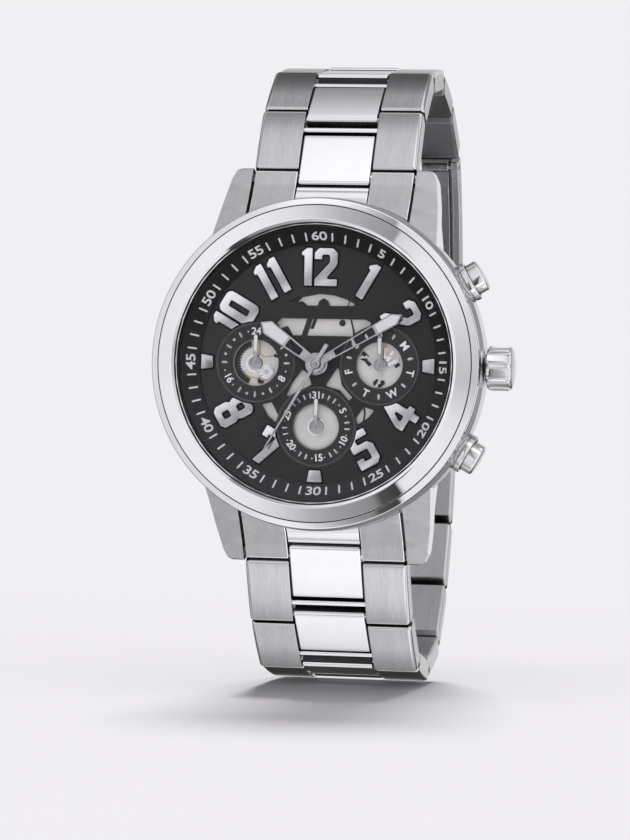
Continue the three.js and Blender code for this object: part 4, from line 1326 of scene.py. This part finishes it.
def bent(across, along, out, material, bevel, steps, corner=None, name="bent"):
    """A plate bent to the arc, with rounded rims; corner rounds its section."""
    (x0, x1), (a0, a1), (b0, b1) = across, along, out
    corner = bevel if corner is None else corner
    rims = []
    for k in range(4):
        turn = k / 3 * math.pi / 2
        rims.append((a0 + bevel * (1 - math.cos(turn)), bevel * (1 - math.sin(turn))))
    rows = rims + [(a0 + bevel + (a1 - a0 - 2 * bevel) * i / steps, 0.0)
                   for i in range(1, steps)]
    rows += [(a0 + a1 - a, d) for a, d in reversed(rows)] if False else [
        (a0 + a1 - a, d) for a, d in reversed(rims)]
    sections = []
    for a, d in rows:
        section = fillet([(x0 + d, b0 + d), (x1 - d, b0 + d), (x1 - d, b1 - d), (x0 + d, b1 - d)],
                         max(0.02, min(corner, (b1 - b0) / 2 - d - 0.01)), 4)
        sections.append([(x,) + on_arc(a, b) for x, b in section])
    return loft(name, sections, [material])


def carve(target, across, along, out, bevel, steps, corner):
    cut(target, bent(across, along, out, target.data.materials[0], bevel, steps, corner, "cut"))


def rod(radius, across, at, material, segs=48):
    """A rod with chamfered ends, across the clasp."""
    (x0, x1), chamfer = across, 0.08
    profile = [(0, x0), (radius - chamfer, x0), (radius, x0 + chamfer), (radius, x1 - chamfer),
               (radius - chamfer, x1), (0, x1)]
    return shift(lathe("rod", profile, segs, [material], "X"), Matrix.Translation((0, *at)))


def both(half):
    return -half, half


def sided(side, inner, outer):
    return sorted((side * inner, side * outer))


# cover shell: bent plate with an opening at the upper end and link-like grooves
# the cover takes the half-shaded copy of the link steel, its darkening painted shade
cover = bent(both(10.98), (1.95, LENGTH - 1.25), (0.5, 1.5), LINK_HALF_SHADED, 0.3, 40, 0.42,
             name="clasp_cover_shell")
carve(cover, both(5.3), (-1.0, 5.6), both(3), 0.05, 6, 0.2)
for _, side in SIDES:
    carve(cover, (side * 5.0 - 0.1, side * 5.0 + 0.1), (1.0, LENGTH + 1), (1.36, 2.2),
          0.04, 40, 0.04)
for along in (10.3, LENGTH - 10.3):
    carve(cover, both(12), (along - 0.14, along + 0.14), (1.30, 2.2), 0.05, 2, 0.04)
piece(cover, "clasp_cover", "brushed_steel", "clasp_cover", sharp=30)

# cover frame: two side walls, a cross plate, and the tongue for the spring bar
parts = []
for _, side in SIDES:
    wall = bent(sided(side, 9.8, 10.96), (1.95, LENGTH - 1.27), (-1.0, 1.3), WALL, 0.22, 40, 0.25)
    carve(wall, sided(side, 9.0, 12), (BUTTON - 2.6, BUTTON + 2.6), (-0.65, 0.85), 0.1, 6, 0.15)
    cut(wall, drill(0.52, -12, 12, 32, "X", Matrix.Translation((0, *TOP_HINGE))))
    parts.append(wall)
parts.append(bent(both(10.0), (LENGTH - 3.2, LENGTH - 1.5), (-1.3, 0.9), SATIN, 0.15, 3, 0.2))
parts.append(bent(both(CENTRE_HALF), (LENGTH - 3.4, LENGTH - 0.2), (-1.3, 1.3), POLISHED,
                  0.15, 6, 0.2))
parts.append(rod(1.3, both(CENTRE_HALF), clasp_bottom, POLISHED))
piece(join("clasp_cover_frame", parts), "clasp_cover", "polished_steel", "clasp_cover", sharp=30)

# middle blade: waisted at the buttons, two openings, and knuckles on both hinges
blade = bent(both(9.4), (5.4, LENGTH - 9.4), (-0.7, 0.2), BLADE, 0.16, 36)
for _, side in SIDES:
    carve(blade, sided(side, 8.4, 12), (BUTTON - 3, BUTTON + 3), both(2), 0.3, 6, 0.1)
for along in ((9.5, 17.0), (LENGTH - 20.0, LENGTH - 13.0)):
    carve(blade, both(3.2), along, both(2), 0.5, 10, 0.1)
parts = [blade]
for _, side in SIDES:
    outer, inner = sided(side, 5.6, 9.4), sided(side, 4.2, 7.8)
    parts += [bent(outer, (2.9, 5.8), (-0.7, 0.2), BLADE, 0.08, 4),
              rod(0.78, outer, TOP_HINGE, BLADE),
              bent(inner, (LENGTH - 9.8, LENGTH - 8.0), (-0.9, 0.0), BLADE, 0.08, 3),
              rod(0.95, inner, FOLD_HINGE, BLADE)]
piece(join("clasp_middle_blade_detail", parts), "clasp_middle_blade", "brushed_steel",
      "clasp_middle_blade", sharp=30)

# inner blade, its head a centre link on the last upper pin
blade = bent(both(8.0), (5.2, LENGTH - 9.5), (-1.9, -1.0), BLADE, 0.16, 36)
carve(blade, both(4.6), (9.0, LENGTH - 14.0), (-1.55, -0.5), 0.2, 30, 0.15)
parts = [blade,
         bent(both(CENTRE_HALF), (0.0, 4.6), (-1.9, 1.38), POLISHED, 0.3, 6, 0.2),
         rod(1.35, both(CENTRE_HALF), clasp_top, POLISHED, 64),
         bent(both(CENTRE_HALF), (4.2, 5.6), (-1.9, -1.0), BLADE, 0.1, 3),
         bent(both(3.9), (LENGTH - 9.7, LENGTH - 8.0), (-1.9, -1.0), BLADE, 0.08, 3),
         rod(0.95, both(3.9), FOLD_HINGE, BLADE)]
piece(join("clasp_inner_blade_detail", parts), "clasp_inner_blade", "brushed_steel",
      "clasp_inner_blade", sharp=30)

for side_name, side in reversed(SIDES):
    name = "clasp_button_" + side_name
    cap = bent(sided(side, 9.75, 11.7), (BUTTON - 2.35, BUTTON + 2.35), (-0.4, 0.6), POLISHED,
               0.18, 8, 0.2, name=name + "_cap")
    piece(cap, name, "polished_steel", name)

# ---------------------------------------------------------------- finishes of the CAD nodes kept

CARRIED = {
    "crystal_gasket": (RUBBER, "gasket_rubber"), "caseback_gasket": (RUBBER, "gasket_rubber"),
    "movement_plate": (PLATE, "movement_silver"), "movement_body": (SATIN, "movement_silver"),
    "battery": (CELL, "battery_steel"), "movement_holder": (HOLDER, "holder_plastic"),
    "crown_tube": (SATIN, "brushed_steel"),
}
for name, node in frame["nodes"].items():
    if node.hide_render:
        continue
    material, slot = CARRIED.get(name, (PIN, "pin_steel"))
    node.data.materials.clear()
    node.data.materials.append(material)

# ---------------------------------------------------------------- world

# cards round the viewing axis: (degrees clockwise from twelve, brightness)
RING_CARDS = [
    (0, 0.47), (4.6, 0.42), (15.4, 0.34), (17, 0.35), (17.7, 0.76), (31.8, 0.93), (52, 0.92),
    (76, 0.70), (95, 0.60), (114, 0.86), (133, 0.96), (155.8, 0.92), (157, 0.05), (166, 0.09),
    (169.3, 0.28), (175, 0.33), (185, 0.38), (195, 0.50), (204.5, 0.70), (214, 0.86),
    (226.5, 0.96), (270, 0.98), (300, 0.99), (318, 0.96), (327.7, 0.93), (336.6, 0.85),
    (345.5, 0.70), (355, 0.52), (360, 0.47)]
# from the viewer's side (0) round to behind the watch (1), above and below the level
ABOVE = [
    (0.0, 0.9), (0.20, 1.15), (0.30, 1.14), (0.345, 1.04), (0.372, 0.66), (0.40, 0.44),
    (0.43, 0.50), (0.50, 0.88), (0.55, 1.02), (0.60, 0.84), (0.645, 0.90), (0.69, 0.38),
    (0.74, 0.18), (0.85, 0.40), (1.0, 0.66)]
BELOW = [
    (0.0, 0.9), (0.20, 1.15), (0.27, 1.10), (0.30, 1.0), (0.345, 0.64), (0.38, 0.58),
    (0.43, 0.76), (0.48, 0.98), (0.575, 1.04), (0.605, 0.90), (0.64, 0.60), (0.70, 0.42),
    (0.80, 0.26), (0.90, 0.06), (1.0, 0.04)]
BACKDROP = (0.879, 0.863, 0.888, 1)


def build_world():
    world = bpy.data.worlds.new("studio")
    scene.world = world
    nodes = Nodes(world)

    def tones(source, stops):
        return nodes.ramp(source, [(p, (v, v * 0.985, v * 1.005)) for p, v in stops])

    x, y, z = nodes.axes(nodes.add("TexCoord", "Generated"))
    clock = nodes.math("DIVIDE", nodes.math("ARCTAN2", x, z), TAU)
    clock = nodes.math("FRACT", nodes.math("ADD", clock, 1.0))
    ring = tones(clock, [(degrees / 360, v) for degrees, v in RING_CARDS])
    depth = nodes.math("MULTIPLY_ADD", y, 0.5, 0.5)
    up = nodes.remap(z, before=(-0.30, -0.06), interpolation_type="SMOOTHSTEP")
    room = nodes.mix(up, tones(depth, BELOW), tones(depth, ABOVE))
    # the room is brighter to the right of the viewer than to the left
    room = nodes.scaled(room, nodes.remap(x, after=(0.72, 1.28), before=(-0.47, 0.13)))
    # the ring of cards counts only near the viewing axis
    near = nodes.remap(y, before=(-0.60, -0.68), interpolation_type="SMOOTHSTEP")
    room = nodes.mix(near, room, ring)
    # the camera itself sees an even pale backdrop
    seen = nodes.mix(nodes.add("LightPath", "Is Camera Ray"), room, BACKDROP)
    nodes.feed("Background", {"Color": seen, "Strength": 1.0})


build_world()

# ---------------------------------------------------------------- floor

FLOOR_SIDES = 48
FLOOR_RINGS = [0.0, 0.05, 0.1, 0.18, 0.3, 0.45, 0.6]
FLOOR_Y, FLOOR_Z = 0.02, -0.04385
FLOOR_TONE = 0.36


def floor_material():
    """Matt and pale, fading out with distance and clear from below."""
    material, nodes = surface("pale_floor")
    nodes.finish((FLOOR_TONE, FLOOR_TONE * 0.982, FLOOR_TONE * 1.01, 1), 1.0,
                 Specular_IOR_Level=0.0)
    distance = nodes.add("VectorMath", "Value", {0: nodes.place()}, operation="LENGTH")
    fade = nodes.remap(distance, before=(0.12, 0.34), interpolation_type="SMOOTHSTEP")
    clear = nodes.math("MAXIMUM", fade, nodes.add("NewGeometry", "Backfacing"))
    nodes.blend(clear, nodes.tree.nodes["Principled BSDF"].outputs[0],
                nodes.add("BsdfTransparent", 0))
    return material


def build_floor():
    n = FLOOR_SIDES
    verts = [(r * math.cos(TAU * i / n), FLOOR_Y + r * math.sin(TAU * i / n), FLOOR_Z)
             for r in FLOOR_RINGS for i in range(n)]
    faces = []
    for k in range(len(FLOOR_RINGS) - 1):
        for i in range(n):
            j = (i + 1) % n
            faces.append((k * n + i, (k + 1) * n + i, (k + 1) * n + j, k * n + j))
    mesh = bpy.data.meshes.new("floor")
    mesh.from_pydata(verts, [], faces)
    floor = add_object("floor", mesh)
    mesh.materials.append(floor_material())
    floor.visible_glossy = False


build_floor()

# ---------------------------------------------------------------- lights


def add_light(name, kind, direction, **settings):
    """A light shining along direction, unseen in reflections."""
    data = bpy.data.lights.new(name, kind)
    for key, value in settings.items():
        setattr(data, key, value)
    light = add_object(name, data)
    light.rotation_mode = "QUATERNION"
    light.rotation_quaternion = direction.to_track_quat("-Z", "Y")
    light.visible_glossy = False
    return light


lamp_at = Vector((-0.1, -0.25, 0.75))
lamp_target = Vector((0, 0.01, 0))
lamp = add_light("soft_top", "AREA", lamp_target - lamp_at, shape="DISK", size=0.4, energy=0.8)
lamp.location = lamp_at

# a broad light from behind throws the bracelet's soft shadow forward, towards the viewer
back_light = add_light("back_light", "SUN", Vector((0.055, -0.65, -0.755)), energy=6.5,
                       angle=16 * DEG)
blockers = bpy.data.collections.new("bracelet_shadow")
for part in list(bpy.data.objects):
    if part.type == "MESH" and part.name.startswith(("upper_link", "lower_link", "clasp_")):
        blockers.objects.link(part)
back_light.light_linking.blocker_collection = blockers

# ---------------------------------------------------------------- camera

CAMERA_AT = Vector((0.08384, -0.49361, -0.00925))
CAMERA_FORWARD = Vector((-0.1705, 0.98535, 0.00383)).normalized()
CAMERA_ROLL = 1.42 * DEG

camera_data = bpy.data.cameras.new("camera")
camera_data.lens, camera_data.sensor_width, camera_data.sensor_fit = 160.7, 36, "AUTO"
camera_data.clip_start, camera_data.clip_end = 0.01, 50
camera = add_object("camera", camera_data)
level_right = CAMERA_FORWARD.cross(Vector((0, 0, 1))).normalized()
level_up = level_right.cross(CAMERA_FORWARD)
camera.matrix_world = axes_matrix(
    level_right * math.cos(CAMERA_ROLL) + level_up * math.sin(CAMERA_ROLL),
    level_up * math.cos(CAMERA_ROLL) - level_right * math.sin(CAMERA_ROLL),
    -CAMERA_FORWARD, CAMERA_AT)
scene.camera = camera
scene.view_settings.view_transform = "Standard"
